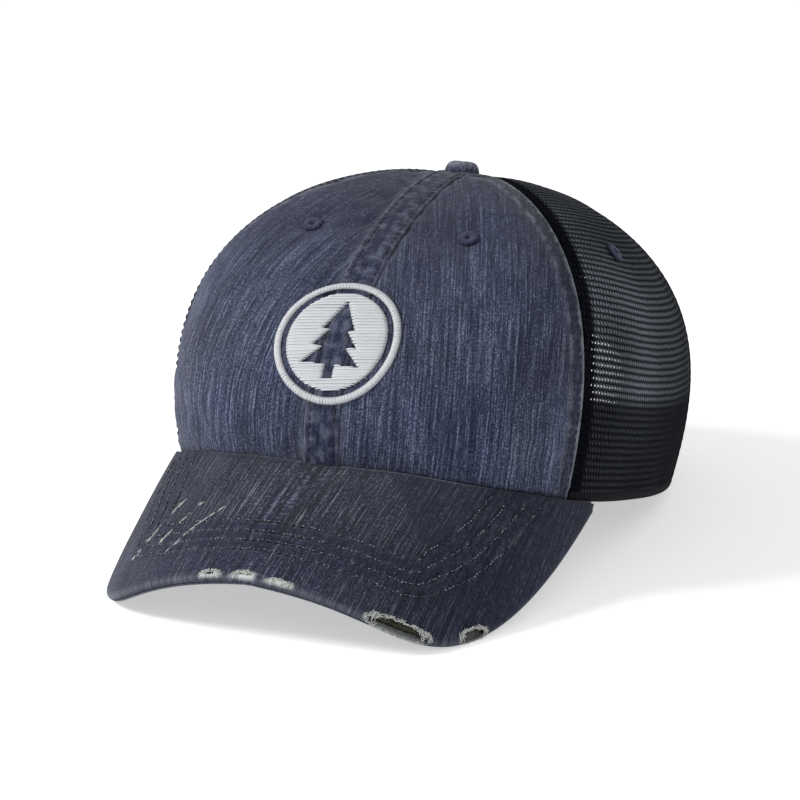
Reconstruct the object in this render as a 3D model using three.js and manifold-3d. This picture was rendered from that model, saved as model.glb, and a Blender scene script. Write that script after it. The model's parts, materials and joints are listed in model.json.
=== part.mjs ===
// Six-panel trucker cap with a curved bill, mesh sides and back, and a snap closure.
// Millimetres, +Z up. Inside the cap group the head opening's rim plane is z = 0, the bill points to -Y and
// the wearer's left is +X. The whole cap is tipped back so that it stands on a table the way it really
// does, on the two side edges of the bill and on the rear hem.
import * as THREE from "three";
import { mergeVertices } from "three/addons/utils/BufferGeometryUtils.js";
import Module from "manifold-3d";

// ---- driving dimensions ------------------------------------------------------------------------------

// Crown
const HALF_WIDTH = 81.7;
const FRONT_REACH = 90.3;
const REAR_REACH = 118.8;
const RIM_SQUARENESS = 2.67;
const FRONT_RISE = 5.6;
const REAR_RISE = 12.3;
const SIDE_RISE = 0.2;
const CROWN_HEIGHT = 114.2;
const APEX_BACK = 12;
const TAPER_FRONT = 1.19;
const TAPER_SIDE = 0.69;
const TAPER_REAR = 1.14;
const CLIMB_SIDE = 0.93;
const CLIMB_FRONT_EXTRA = 0.25;
const BULGE = 0.15;
const REST_PITCH_DEG = 13.75;

// Panels: positions are lengths along the rim from the front centre
const FRONT_SEAM_AT = 93.8;
const REAR_SEAM_AT = 214;
const SEAM_GAP = 0.6;
const PANEL_THICKNESS = 1;
const APEX_HOLE_RADIUS = 3.4;

// Seam strip and tapes
const STRIP_WIDTH = 13;
const STRIP_OFFSETS = [0.9, 0.35];
const TAPE_WIDTH = 12;
const TAPE_OFFSETS = [-1.8, -2.3];
const TAPE_APEX_RADIUS = 15;

// Sweatband
const BAND_LOW = 1.2;
const BAND_HIGH = 33;
const BAND_OFFSETS = [-3.6, -4.7];
const BAND_END_GAP = 1.5;

// Rear arch opening and its binding
const ARCH_HALF_WIDTH = 46;
const ARCH_HEIGHT = 48;
const ARCH_SQUARENESS = 2.6;
const BINDING_REACH = 7;

// Snap closure
const STRAP_LOW = 3;
const STRAP_HIGH = 17;
const STRAP_OUT = -2.3;
const STRAP_THICKNESS = 1;
const STRAP_HINGE_AT = 42.5;
const STRAP_HINGE_GAP = 0.5;
const STRAP_TIP_AT = -25;
const TAB_END_AT = 65;
const PEG_STRAP_STEP = 1.4;
const SNAP_PITCH = 9.5;
const SNAP_COUNT = 7;
const SNAP_TIP_MARGIN = 6;
const HOLE_RADIUS = 2.7;
const PEG_RADIUS = 2;
const PEG_TIP_RADIUS = 1.7;
const PEG_HEIGHT = 2;

// Bill
const BILL_END_DEG = 75.2;
const BILL_END_SHARE = 0.985;
const BILL_LENGTH = 63.4;
const BILL_SIDE_GAIN = 0.6;
const BILL_CORNER_POWER = 5.27;
const BILL_CORNER_ROOT = 0.78;
const BILL_YAW = [-10.6, 16.1];
const BILL_DROP = [34.6, 47.2];
const BILL_DROP_POWER = 0.85;
const BILL_CAMBER = 1.9;
const BILL_ROOT_GAP = 1.3;
const BOARD_THICKNESS = 1.8;
const COVER_THICKNESS = 0.8;
const COVER_GAP = 0.35;
const COVER_LIP = 1.7;

// Front emblem, eyelets and top button
const EMBLEM_RADIUS = 23.5;
const EMBLEM_CLIMB = 46;
const EMBLEM_OFFSETS = [2, 1.25];
const EYELETS = [
  { name: "front", arc: 47, height: 85 },
  { name: "side", arc: 135, height: 89 },
  { name: "back", arc: 255, height: 84 },
];
const EYELET_RADIUS = 4;
const EYELET_HOLE_RADIUS = 1.8;
const EYELET_THICKNESS = 0.9;
const BUTTON_RADIUS = 6.6;
const BUTTON_HEIGHT = 5.2;
const BUTTON_LIFT = 1.4;
const TACK_RADIUS = 6;
const TACK_SHANK_RADIUS = 1.5;
const TACK_TOP_UNDER = 2.6;
const TACK_DISC_THICKNESS = 1;

// ---- materials ---------------------------------------------------------------------------------------

const finish = (color, roughness, metalness = 0) =>
  new THREE.MeshStandardMaterial({ color, roughness, metalness });
const DENIM = { color: 0x4d5366, roughness: 0.92 };
const BILL_DENIM = { color: 0x3f4455, roughness: 0.92 };
const INDIGO = { color: 0x2b3048, roughness: 0.9 };
const NET = { color: 0x1f2230, roughness: 0.7 };
const WEBBING = { color: 0x20222f, roughness: 0.95 };
const PLASTIC = { color: 0x1a1c26, roughness: 0.45 };
const BOARD = { color: 0x4b4d40, roughness: 0.8 };
const THREAD = { color: 0xe6e7ea, roughness: 0.6 };
const STEEL = { color: 0x8b8d92, roughness: 0.35, metalness: 1 };

// ---- crown surface -----------------------------------------------------------------------------------

const RAD = Math.PI / 180;
const lerp = THREE.MathUtils.lerp;
const vec = (x, y, z) => new THREE.Vector3(x, y, z);

// Outer surface of the crown: theta runs round from the front centre, tau climbs from the rim to the apex.
function crownAt(theta, tau) {
  const s = Math.sin(theta);
  const c = Math.cos(theta);
  const power = 2 / RIM_SQUARENESS;
  const reach = c > 0 ? FRONT_REACH : REAR_REACH;
  const front = Math.max(0, c) ** 2;
  const rear = Math.max(0, -c) ** 2;
  const rimX = HALF_WIDTH * Math.sign(s) * Math.abs(s) ** power;
  const rimY = -reach * Math.sign(c) * Math.abs(c) ** power;
  const rimZ = FRONT_RISE * front + REAR_RISE * rear + SIDE_RISE * s ** 4;
  const taper = TAPER_SIDE + (TAPER_FRONT - TAPER_SIDE) * front + (TAPER_REAR - TAPER_SIDE) * rear;
  const bulge = 1 + BULGE * Math.sin(2 * tau);
  const inward = Math.max(0, Math.cos(tau)) ** taper * bulge;
  const rise = Math.sin(tau) ** (CLIMB_SIDE + CLIMB_FRONT_EXTRA * front);
  return vec(
    rimX * inward,
    APEX_BACK + (rimY - APEX_BACK) * inward,
    rimZ + (CROWN_HEIGHT - rimZ) * rise,
  );
}

function cumulative(points) {
  const lengths = [0];
  for (let i = 1; i < points.length; i++) {
    lengths.push(lengths[i - 1] + points[i].distanceTo(points[i - 1]));
  }
  return lengths;
}

function lookUp(keys, values, key) {
  let low = 0;
  let high = keys.length - 1;
  while (high - low > 1) {
    const middle = (low + high) >> 1;
    if (keys[middle] <= key) low = middle;
    else high = middle;
  }
  return lerp(values[low], values[high], (key - keys[low]) / (keys[high] - keys[low]));
}

const RIM_STEPS = 4000;
const rimAngles = Array.from({ length: RIM_STEPS + 1 }, (_, i) => (Math.PI * i) / RIM_STEPS);
const rimLengths = cumulative(rimAngles.map((theta) => crownAt(theta, 0)));
const HALF_RIM = rimLengths[RIM_STEPS];

// Angle round the crown for a length along the rim, positive towards the wearer's left.
function thetaAt(arc) {
  const turn = 2 * HALF_RIM;
  const wrapped = ((((arc + HALF_RIM) % turn) + turn) % turn) - HALF_RIM;
  return Math.sign(wrapped) * lookUp(rimLengths, rimAngles, Math.abs(wrapped));
}

// Each meridian is measured once: its climb is the length up the surface from the rim.
const MERIDIAN_STEPS = 160;
const meridianTaus = Array.from(
  { length: MERIDIAN_STEPS + 1 },
  (_, i) => (Math.PI / 2) * (i / MERIDIAN_STEPS) ** 2,
);
const meridians = new Map();
function meridian(arc) {
  const key = Math.round(Math.abs(arc) * 50);
  if (!meridians.has(key)) {
    const theta = thetaAt(key / 50);
    const points = meridianTaus.map((tau) => crownAt(theta, tau));
    meridians.set(key, {
      climbs: cumulative(points),
      heights: points.map((p) => p.z - points[0].z),
      radii: points.map((p) => -Math.hypot(p.x, p.y - APEX_BACK)),
    });
  }
  return meridians.get(key);
}

function climbAtHeight(arc, height) {
  const line = meridian(arc);
  return lookUp(line.heights, line.climbs, height);
}

// Climb at which the crown has closed in to a given radius round the apex.
function climbAtRadius(arc, radius) {
  const line = meridian(arc);
  const outside = line.radii.findLastIndex((r) => r < -radius);
  const share = (-radius - line.radii[outside]) / (line.radii[outside + 1] - line.radii[outside]);
  return lerp(line.climbs[outside], line.climbs[outside + 1], share);
}

const onCrown = (arc, climb) =>
  crownAt(thetaAt(arc), lookUp(meridian(arc).climbs, meridianTaus, Math.max(0, climb)));

// Change of place per millimetre of arc and of climb, and the direction out of the crown.
function crownAxes(arc, climb) {
  const along = onCrown(arc + 0.5, climb).sub(onCrown(arc - 0.5, climb));
  const low = Math.max(0, climb - 0.4);
  const up = onCrown(arc, climb + 0.4).sub(onCrown(arc, low)).divideScalar(climb + 0.4 - low);
  return { along, up, stretch: along.length(), out: along.clone().cross(up).normalize() };
}

// Place on the crown nearest to a point, found from a place close by.
function nearestOnCrown(point, arc, climb) {
  for (let i = 0; i < 8; i++) {
    const { along, up } = crownAxes(arc, climb);
    const miss = point.clone().sub(onCrown(arc, climb));
    const [aa, au, uu] = [along.dot(along), along.dot(up), up.dot(up)];
    const [ma, mu] = [miss.dot(along), miss.dot(up)];
    const scale = aa * uu - au * au;
    arc += (ma * uu - mu * au) / scale;
    climb = Math.max(0, climb + (mu * aa - ma * au) / scale);
  }
  return [arc, climb];
}

function offCrown(arc, climb, offset) {
  return onCrown(arc, climb).addScaledVector(crownAxes(arc, climb).out, offset);
}

// ---- solids ------------------------------------------------------------------------------------------

function signedVolume(geometry) {
  const p = geometry.attributes.position;
  const index = geometry.index.array;
  const corner = (i) => vec(p.getX(i), p.getY(i), p.getZ(i));
  let total = 0;
  for (let i = 0; i < index.length; i += 3) {
    total += corner(index[i]).dot(corner(index[i + 1]).cross(corner(index[i + 2])));
  }
  return total;
}

// Merges shared vertices, drops triangles with no area and turns the faces outwards.
function weld(geometry) {
  geometry.deleteAttribute("normal");
  geometry.deleteAttribute("uv");
  const merged = mergeVertices(geometry, 1e-3);
  const kept = [];
  const index = merged.index.array;
  for (let i = 0; i < index.length; i += 3) {
    const [a, b, c] = [index[i], index[i + 1], index[i + 2]];
    if (a !== b && b !== c && c !== a) kept.push(a, b, c);
  }
  merged.setIndex(kept);
  if (signedVolume(merged) < 0) {
    for (let i = 0; i < kept.length; i += 3) {
      [kept[i], kept[i + 1]] = [kept[i + 1], kept[i]];
    }
    merged.setIndex(kept);
  }
  merged.computeVertexNormals();
  return merged;
}

// Bends a geometry: place turns each of its vertices into a point of the cap.
function bent(geometry, place) {
  const p = geometry.attributes.position;
  for (let i = 0; i < p.count; i++) {
    const point = place(p.getX(i), p.getY(i), p.getZ(i));
    p.setXYZ(i, point.x, point.y, point.z);
  }
  return weld(geometry);
}

// A sheet of fabric: a flat segmented box bent so that u and v run over it and layer goes 0 out to 1 in.
function sheet(columns, rows, place) {
  return bent(new THREE.BoxGeometry(1, 1, 1, columns, rows, 1), (x, y, z) =>
    place(x + 0.5, y + 0.5, 0.5 - z),
  );
}

function turned(profile, segments = 20) {
  return weld(new THREE.LatheGeometry(profile.map(([r, z]) => new THREE.Vector2(r, z)), segments));
}

const wasm = await Module();
wasm.setup();

function asSolid(geometry) {
  return new wasm.Manifold(
    new wasm.Mesh({
      numProp: 3,
      vertProperties: new Float32Array(geometry.attributes.position.array),
      triVerts: new Uint32Array(geometry.index.array),
    }),
  );
}

function asGeometry(solid) {
  const mesh = solid.getMesh();
  const geometry = new THREE.BufferGeometry();
  geometry.setAttribute("position", new THREE.BufferAttribute(mesh.vertProperties, mesh.numProp));
  geometry.setIndex(new THREE.BufferAttribute(mesh.triVerts, 1));
  return weld(geometry);
}

const cut = (body, tools) =>
  asGeometry(tools.reduce((solid, tool) => solid.subtract(asSolid(tool)), asSolid(body)));
const join = (body, extras) =>
  asGeometry(extras.reduce((solid, extra) => solid.add(asSolid(extra)), asSolid(body)));

// A round bar standing on the crown along its outward direction, between two offsets.
function crownPin(arc, climb, inner, outer, radius, tipRadius = radius, segments = 12) {
  const pin = new THREE.CylinderGeometry(tipRadius, radius, outer - inner, segments);
  const { out } = crownAxes(arc, climb);
  pin.applyQuaternion(new THREE.Quaternion().setFromUnitVectors(vec(0, 1, 0), out));
  pin.translate(...offCrown(arc, climb, (inner + outer) / 2).toArray());
  return weld(pin);
}

// ---- assembly ----------------------------------------------------------------------------------------

const cap = new THREE.Group();
function add(name, geometry, look) {
  const mesh = new THREE.Mesh(geometry, finish(look.color, look.roughness, look.metalness));
  mesh.name = name;
  cap.add(mesh);
  return mesh;
}
const sides = [
  { side: "left", sign: 1 },
  { side: "right", sign: -1 },
];

// ---- crown panels ------------------------------------------------------------------------------------

const topClimb = (arc) => climbAtRadius(arc, APEX_HOLE_RADIUS);

// Arc shifted off a seam by half the seam gap, measured on the surface at that height.
function clearOfSeam(arc, seam, share) {
  const climb = share * topClimb(seam);
  return arc + SEAM_GAP / 2 / crownAxes(seam, climb).stretch;
}

// A panel between two seams. floor gives the lower edge as a point [arc, climb] for u from 0 to 1.
function panel(from, to, sign, columns, rows, floor) {
  return sheet(columns, rows, (u, v, layer) => {
    const [lowArc, lowClimb] = floor(u);
    const highArc = lerp(from, to, u);
    const share = (lerp(lowArc, highArc, v) - from) / (to - from);
    const first = clearOfSeam(from, from, v);
    const last = 2 * to - clearOfSeam(to, to, v);
    const arc = lerp(first, last, share);
    const climb = lerp(lowClimb, topClimb(arc), v);
    return offCrown(sign * arc, climb, -layer * PANEL_THICKNESS);
  });
}

const rimFloor = (from, to) => (u) => [lerp(from, to, u), 0];

// Lower edge of a back panel: along the rim to the arch's foot, then up and over the arch.
const ARCH_FOOT_SHARE = 0.36;
function archEdge(angle, halfWidth = ARCH_HALF_WIDTH, height = ARCH_HEIGHT) {
  const power = 2 / ARCH_SQUARENESS;
  return [HALF_RIM - halfWidth * Math.cos(angle) ** power, height * Math.sin(angle) ** power];
}
function archFloor(u) {
  if (u <= ARCH_FOOT_SHARE + 1e-6) {
    return [lerp(REAR_SEAM_AT, HALF_RIM - ARCH_HALF_WIDTH, u / ARCH_FOOT_SHARE), 0];
  }
  const angle = ((u - ARCH_FOOT_SHARE) / (1 - ARCH_FOOT_SHARE)) * (Math.PI / 2);
  return u > 1 - 1e-6 ? [HALF_RIM, ARCH_HEIGHT] : archEdge(angle);
}

const eyeletSpots = EYELETS.map((e) => ({ ...e, climb: climbAtHeight(e.arc, e.height) }));
const panelShapes = {
  front: (sign) => panel(0, FRONT_SEAM_AT, sign, 8, 14, rimFloor(0, FRONT_SEAM_AT)),
  side: (sign) => panel(FRONT_SEAM_AT, REAR_SEAM_AT, sign, 10, 13, rimFloor(FRONT_SEAM_AT, REAR_SEAM_AT)),
  back: (sign) => panel(REAR_SEAM_AT, HALF_RIM, sign, 14, 11, archFloor),
};
for (const { side, sign } of sides) {
  for (const spot of eyeletSpots) {
    const drill = crownPin(sign * spot.arc, spot.climb, -3, 2, EYELET_HOLE_RADIUS, EYELET_HOLE_RADIUS, 10);
    const look = spot.name === "front" ? DENIM : NET;
    add(`${spot.name}_panel_${side}`, cut(panelShapes[spot.name](sign), [drill]), look);
  }
}

// ---- seam strip outside, seam tapes inside -----------------------------------------------------------

// A ribbon of even width that follows a meridian and lies against the crown.
function ribbon(arc, width, offsets, fromClimb, toRadius, columns, rows) {
  const top = climbAtRadius(arc, toRadius);
  return sheet(columns, rows, (u, v, layer) => {
    const climb = lerp(fromClimb, top, v);
    const { along, stretch } = crownAxes(arc, climb);
    const aside = ((u - 0.5) * width) / stretch;
    const target = onCrown(arc, climb).addScaledVector(along, aside);
    return offCrown(...nearestOnCrown(target, arc + aside * 0.7, climb), offsets[layer]);
  });
}

add("front_center_strip", ribbon(0, STRIP_WIDTH, STRIP_OFFSETS, 0.8, 5, 2, 16), INDIGO);
add("seam_tape_front_center", ribbon(0, TAPE_WIDTH, TAPE_OFFSETS, 2, 7.5, 2, 14), WEBBING);
for (const { side, sign } of sides) {
  add(
    `seam_tape_front_${side}`,
    ribbon(sign * FRONT_SEAM_AT, TAPE_WIDTH, TAPE_OFFSETS, 2, TAPE_APEX_RADIUS, 2, 14),
    WEBBING,
  );
  add(
    `seam_tape_rear_${side}`,
    ribbon(sign * REAR_SEAM_AT, TAPE_WIDTH, TAPE_OFFSETS, 2, TAPE_APEX_RADIUS, 2, 14),
    WEBBING,
  );
}
add(
  "seam_tape_back_center",
  ribbon(HALF_RIM, TAPE_WIDTH, TAPE_OFFSETS, ARCH_HEIGHT + BINDING_REACH + 1.5, 7.5, 2, 10),
  WEBBING,
);

// ---- sweatband ---------------------------------------------------------------------------------------

const bandEnd = HALF_RIM - ARCH_HALF_WIDTH - BAND_END_GAP;
add(
  "sweatband",
  sheet(44, 3, (u, v, layer) => {
    const arc = lerp(-bandEnd, bandEnd, u);
    return offCrown(arc, lerp(BAND_LOW, BAND_HIGH, v), BAND_OFFSETS[layer]);
  }),
  WEBBING,
);

// ---- rear arch binding -------------------------------------------------------------------------------

// Folded tape round the arch's edge. Each row is [distance out over the edge, offset] for its outer skin and
// its inner skin, from the outside leg over the edge to the inside leg.
const BINDING_ROWS = [
  [[-BINDING_REACH, 0.9], [-BINDING_REACH, 0.35]],
  [[0.5, 0.9], [0.3, 0.35]],
  [[0.95, 0.4], [0.35, 0.1]],
  [[0.95, -1.5], [0.35, -1.2]],
  [[0.5, -2], [0.3, -1.5]],
  [[-BINDING_REACH, -2], [-BINDING_REACH, -1.5]],
];
add(
  "rear_arch_binding",
  sheet(22, BINDING_ROWS.length - 1, (u, v, layer) => {
    const [reach, offset] = BINDING_ROWS[Math.round(v * (BINDING_ROWS.length - 1))][layer];
    const half = Math.abs(2 * u - 1);
    const angle = (1 - half) * (Math.PI / 2);
    const [arc, climb] = archEdge(angle, ARCH_HALF_WIDTH - reach, ARCH_HEIGHT - reach);
    const mirrored = u < 0.5 ? arc : 2 * HALF_RIM - arc;
    const foot = half > 1 - 1e-6 ? 0.6 : climb;
    return offCrown(mirrored, Math.max(0.6, foot), offset);
  }),
  WEBBING,
);

// ---- snap closure ------------------------------------------------------------------------------------

// Across the rear opening, t is the length from the back centre towards the wearer's left.
const STRAP_MIDDLE = (STRAP_LOW + STRAP_HIGH) / 2;
const strapArc = (t) => HALF_RIM - t;
const pegStep = (t) =>
  PEG_STRAP_STEP * THREE.MathUtils.smoothstep(t, -STRAP_HINGE_AT + 1, -STRAP_HINGE_AT + 12);

// A flat strap from one end to the other, rounded at its tip.
function strap(root, tip, columns, step) {
  const round = (STRAP_HIGH - STRAP_LOW) / 2;
  return sheet(columns, 4, (u, v, layer) => {
    const fromTip = Math.abs(tip - root) * (1 - u);
    const shy = Math.max(0, round - fromTip) / round;
    const half = round * (tip === TAB_END_AT || tip === -TAB_END_AT ? 1 : Math.sqrt(1 - 0.8 * shy * shy));
    const t = lerp(root, tip, u);
    const climb = STRAP_MIDDLE + (2 * v - 1) * half;
    return offCrown(strapArc(t), climb, STRAP_OUT - step(t) - layer * STRAP_THICKNESS);
  });
}

const noStep = () => 0;
const strapRoot = STRAP_HINGE_AT - STRAP_HINGE_GAP;
const tabRoot = STRAP_HINGE_AT + STRAP_HINGE_GAP;
const snapSpots = Array.from({ length: SNAP_COUNT }, (_, i) => STRAP_TIP_AT + SNAP_TIP_MARGIN + i * SNAP_PITCH);

add("hole_strap_tab", strap(tabRoot, TAB_END_AT, 4, noStep), PLASTIC);
add(
  "hole_strap",
  cut(
    strap(strapRoot, STRAP_TIP_AT, 16, noStep),
    snapSpots.map((t) => crownPin(strapArc(t), STRAP_MIDDLE, STRAP_OUT - 3, STRAP_OUT + 2, HOLE_RADIUS, HOLE_RADIUS, 10)),
  ),
  PLASTIC,
);
add("peg_strap_tab", strap(-tabRoot, -TAB_END_AT, 4, noStep), PLASTIC);
add(
  "peg_strap",
  join(
    strap(-strapRoot, -STRAP_TIP_AT, 16, pegStep),
    snapSpots.map((t) => {
      const face = STRAP_OUT - pegStep(-t);
      const foot = face - STRAP_THICKNESS / 2;
      return crownPin(strapArc(-t), STRAP_MIDDLE, foot, face + PEG_HEIGHT, PEG_RADIUS, PEG_TIP_RADIUS, 10);
    }),
  ),
  PLASTIC,
);

// ---- bill --------------------------------------------------------------------------------------------

const billEnd = BILL_END_DEG * RAD;
const billReach = (s) =>
  BILL_LENGTH *
  (1 + BILL_SIDE_GAIN * s * s) *
  Math.max(0, 1 - Math.abs(s) ** BILL_CORNER_POWER) ** (1 / BILL_CORNER_ROOT);

// Mid surface of the bill: s runs from end to end along the rim, w from the crown seam to the outer edge.
function billAt(s, w) {
  const yaw = (BILL_YAW[0] * s + BILL_YAW[1] * s ** 3) * RAD;
  const drop = lerp(BILL_DROP[0], BILL_DROP[1], Math.abs(s) ** BILL_DROP_POWER) * RAD;
  const run = vec(Math.sin(yaw) * Math.cos(drop), -Math.cos(yaw) * Math.cos(drop), -Math.sin(drop));
  const reach = billReach(s);
  const point = crownAt(s * billEnd, 0).addScaledVector(run, lerp(BILL_ROOT_GAP, reach, w));
  point.z += (BILL_CAMBER * 4 * w * (1 - w) * reach) / BILL_LENGTH;
  return point;
}

function billAxes(s, w) {
  const across = billAt(s + 1e-3, w).sub(billAt(s - 1e-3, w));
  const outward = billAt(s, w + 1e-3).sub(billAt(s, w - 1e-3));
  const up = outward.cross(across).normalize();
  const beyond = up.clone().cross(across).negate().normalize();
  return { up, beyond };
}

// Point off the bill: height above the mid surface and reach past the w line, square to it.
function offBill(s, w, height, reach = 0) {
  const { up, beyond } = billAxes(s, w);
  return billAt(s, w).addScaledVector(up, height).addScaledVector(beyond, reach);
}

// Spreads the columns so that they crowd towards the bill's two ends.
const billShare = (u, limit) => (limit * Math.sin((2 * u - 1) * 1.35)) / Math.sin(1.35);

const BILL_COLUMNS = 26;
const BILL_ROWS = 5;
const boardHalf = BOARD_THICKNESS / 2;
add(
  "bill_board",
  sheet(BILL_COLUMNS, BILL_ROWS, (u, v, layer) => {
    const s = billShare(u, BILL_END_SHARE - 0.01);
    const inset = 1.2 / Math.max(6, billReach(s));
    return offBill(s, lerp(0.02, 1 - inset, v), lerp(boardHalf, -boardHalf, layer));
  }),
  BOARD,
);

// A cover lies over one face of the board and its lip turns round the board's edge.
function cover(side) {
  const near = boardHalf + COVER_GAP;
  const far = near + COVER_THICKNESS;
  return sheet(BILL_COLUMNS, BILL_ROWS + 2, (u, v, layer) => {
    const s = billShare(u, BILL_END_SHARE);
    const row = Math.round(v * (BILL_ROWS + 2));
    const height = layer === 0 ? far : near;
    const lip = layer === 0 ? COVER_LIP : COVER_LIP - COVER_THICKNESS;
    if (row <= BILL_ROWS) return offBill(s, row / BILL_ROWS, side * height);
    if (row === BILL_ROWS + 1) return offBill(s, 1, side * height * 0.75, lip * 0.75);
    return offBill(s, 1, side * COVER_GAP * 0.6, lip);
  });
}
add("bill_top_cover", cover(1), BILL_DENIM);
add("bill_under_cover", cover(-1), BILL_DENIM);

// ---- emblem, eyelets and top button ------------------------------------------------------------------

// Round patch laid over the front seam: its flat disc is bent onto the crown.
const emblemDisc = turned([[0, 1], [8, 1], [16, 1], [EMBLEM_RADIUS, 1], [EMBLEM_RADIUS, 0], [16, 0], [8, 0], [0, 0]], 28);
add(
  "emblem_patch",
  bent(emblemDisc, (x, layer, z) => {
    const climb = EMBLEM_CLIMB + z;
    const { stretch } = crownAxes(0, climb);
    return offCrown(x / stretch, climb, EMBLEM_OFFSETS[Math.round(1 - layer)]);
  }),
  THREAD,
);

const ring = turned(
  [
    [EYELET_HOLE_RADIUS, 0],
    [EYELET_RADIUS, 0],
    [EYELET_RADIUS - 0.3, EYELET_THICKNESS * 0.7],
    [EYELET_RADIUS * 0.7, EYELET_THICKNESS],
    [EYELET_HOLE_RADIUS + 0.3, EYELET_THICKNESS * 0.8],
    [EYELET_HOLE_RADIUS, 0],
  ],
  14,
);
for (const { side, sign } of sides) {
  for (const spot of eyeletSpots) {
    const eyelet = add(`eyelet_${spot.name}_${side}`, ring.clone(), INDIGO);
    const { out } = crownAxes(sign * spot.arc, spot.climb);
    eyelet.position.copy(offCrown(sign * spot.arc, spot.climb, 0.45));
    eyelet.quaternion.setFromUnitVectors(vec(0, 1, 0), out);
  }
}

// The button's cap sits over the apex and its tack clamps through from inside.
const apex = vec(0, APEX_BACK, CROWN_HEIGHT);
const button = add(
  "top_button_cap",
  turned([
    [0, 0],
    [BUTTON_RADIUS - 0.8, 0],
    [BUTTON_RADIUS, 0.8],
    [BUTTON_RADIUS, BUTTON_HEIGHT * 0.5],
    [BUTTON_RADIUS * 0.86, BUTTON_HEIGHT * 0.82],
    [BUTTON_RADIUS * 0.55, BUTTON_HEIGHT * 0.97],
    [0, BUTTON_HEIGHT],
  ]),
  DENIM,
);
button.position.copy(apex).add(vec(0, 0, BUTTON_LIFT));
button.rotation.x = Math.PI / 2;

const shankTop = TACK_TOP_UNDER + BUTTON_LIFT - 0.35;
const tack = add(
  "top_button_tack",
  turned([
    [0, -TACK_DISC_THICKNESS],
    [TACK_RADIUS, -TACK_DISC_THICKNESS],
    [TACK_RADIUS, -0.3],
    [TACK_RADIUS - 0.6, 0],
    [TACK_SHANK_RADIUS, 0],
    [TACK_SHANK_RADIUS, shankTop],
    [0, shankTop],
  ]),
  STEEL,
);
tack.position.copy(apex).add(vec(0, 0, -TACK_TOP_UNDER));
tack.rotation.x = Math.PI / 2;

// ---- standing pose -----------------------------------------------------------------------------------

// Tipped back onto the bill's side edges and the rear hem, with the origin under the middle of the cap.
const standing = new THREE.Group();
standing.name = "trucker_cap";
standing.add(cap);
cap.rotation.x = -REST_PITCH_DEG * RAD;
standing.updateMatrixWorld(true);
const bounds = new THREE.Box3().setFromObject(standing, true);
const middle = bounds.getCenter(new THREE.Vector3());
cap.position.set(-middle.x, -middle.y, -bounds.min.z);
standing.updateMatrixWorld(true);

export default standing;
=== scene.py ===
"""Looks of a trucker cap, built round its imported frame.

Lengths are millimetres in the cap's own frame: rim plane z = 0, bill towards -Y, wearer's left +X. world()
carries them into the frame that the cap rests in, in metres.
"""

import functools
import json
import math

import bpy
import numpy as np
from mathutils import Matrix, Vector

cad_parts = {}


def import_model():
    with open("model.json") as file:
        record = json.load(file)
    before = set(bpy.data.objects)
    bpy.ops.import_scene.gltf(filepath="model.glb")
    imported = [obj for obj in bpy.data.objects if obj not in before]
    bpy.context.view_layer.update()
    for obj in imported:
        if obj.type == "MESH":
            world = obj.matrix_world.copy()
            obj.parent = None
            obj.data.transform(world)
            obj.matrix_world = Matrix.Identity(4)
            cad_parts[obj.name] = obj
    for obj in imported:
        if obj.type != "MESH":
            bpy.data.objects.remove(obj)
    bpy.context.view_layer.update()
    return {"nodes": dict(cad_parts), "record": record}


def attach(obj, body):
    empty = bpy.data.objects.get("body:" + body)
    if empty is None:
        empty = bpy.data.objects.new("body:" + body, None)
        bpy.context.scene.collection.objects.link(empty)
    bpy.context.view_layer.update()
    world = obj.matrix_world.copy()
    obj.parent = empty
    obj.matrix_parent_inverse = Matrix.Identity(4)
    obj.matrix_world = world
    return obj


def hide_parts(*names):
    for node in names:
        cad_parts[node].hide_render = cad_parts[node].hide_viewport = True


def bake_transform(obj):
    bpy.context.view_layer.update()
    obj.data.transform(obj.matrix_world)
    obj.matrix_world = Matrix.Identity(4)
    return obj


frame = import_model()
rng = np.random.default_rng(7)

# ---- driving dimensions, as in the solids ----

HALF_WIDTH, FRONT_REACH, REAR_REACH, SQUARENESS = 81.7, 90.3, 118.8, 2.67
FRONT_RISE, REAR_RISE, SIDE_RISE = 5.6, 12.3, 0.2
CROWN_HEIGHT, APEX_BACK = 114.2, 12.0
TAPER_FRONT, TAPER_SIDE, TAPER_REAR = 1.19, 0.69, 1.14
CLIMB_SIDE, CLIMB_FRONT_EXTRA, BULGE = 0.93, 0.25, 0.15
FRONT_SEAM, REAR_SEAM = 93.8, 214.0
STRIP_WIDTH, TAPE_WIDTH = 13.0, 12.0
BAND_LOW, BAND_HIGH = 1.2, 33.0
ARCH_HALF, ARCH_HEIGHT, ARCH_SQUARENESS = 46.0, 48.0, 2.6
STRAP_LOW, STRAP_HIGH, STRAP_OUT, STRAP_THICK = 3.0, 17.0, -2.3, 1.0
STRAP_HINGE, STRAP_TIP, TAB_END, PEG_STEP = 42.5, -25.0, 65.0, 1.4
SNAP_PITCH, SNAP_COUNT, SNAP_MARGIN = 9.5, 7, 6.0
BILL_END, BILL_SHARE = math.radians(75.2), 0.985
BILL_LENGTH, BILL_SIDE_GAIN, BILL_CORNER, BILL_ROOT = 63.4, 0.6, 5.27, 0.78
BILL_YAW, BILL_DROP, BILL_DROP_POWER, BILL_CAMBER = (-10.6, 16.1), (34.6, 47.2), 0.85, 1.9
BILL_GAP, BOARD_HALF, COVER_GAP, COVER_THICK, COVER_LIP = 1.3, 0.9, 0.35, 0.8, 1.7
COVER_FACE = BOARD_HALF + COVER_GAP + COVER_THICK
EMBLEM_CLIMB = 46.0
EYELETS = {"front": (47.0, 85.0), "side": (135.0, 89.0), "back": (255.0, 84.0)}
BUTTON_RADIUS, BUTTON_HEIGHT, TACK_UNDER, TACK_DISC = 6.6, 5.2, 2.6, 1.0

# ---- dimensions of the looks only ----

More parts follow.
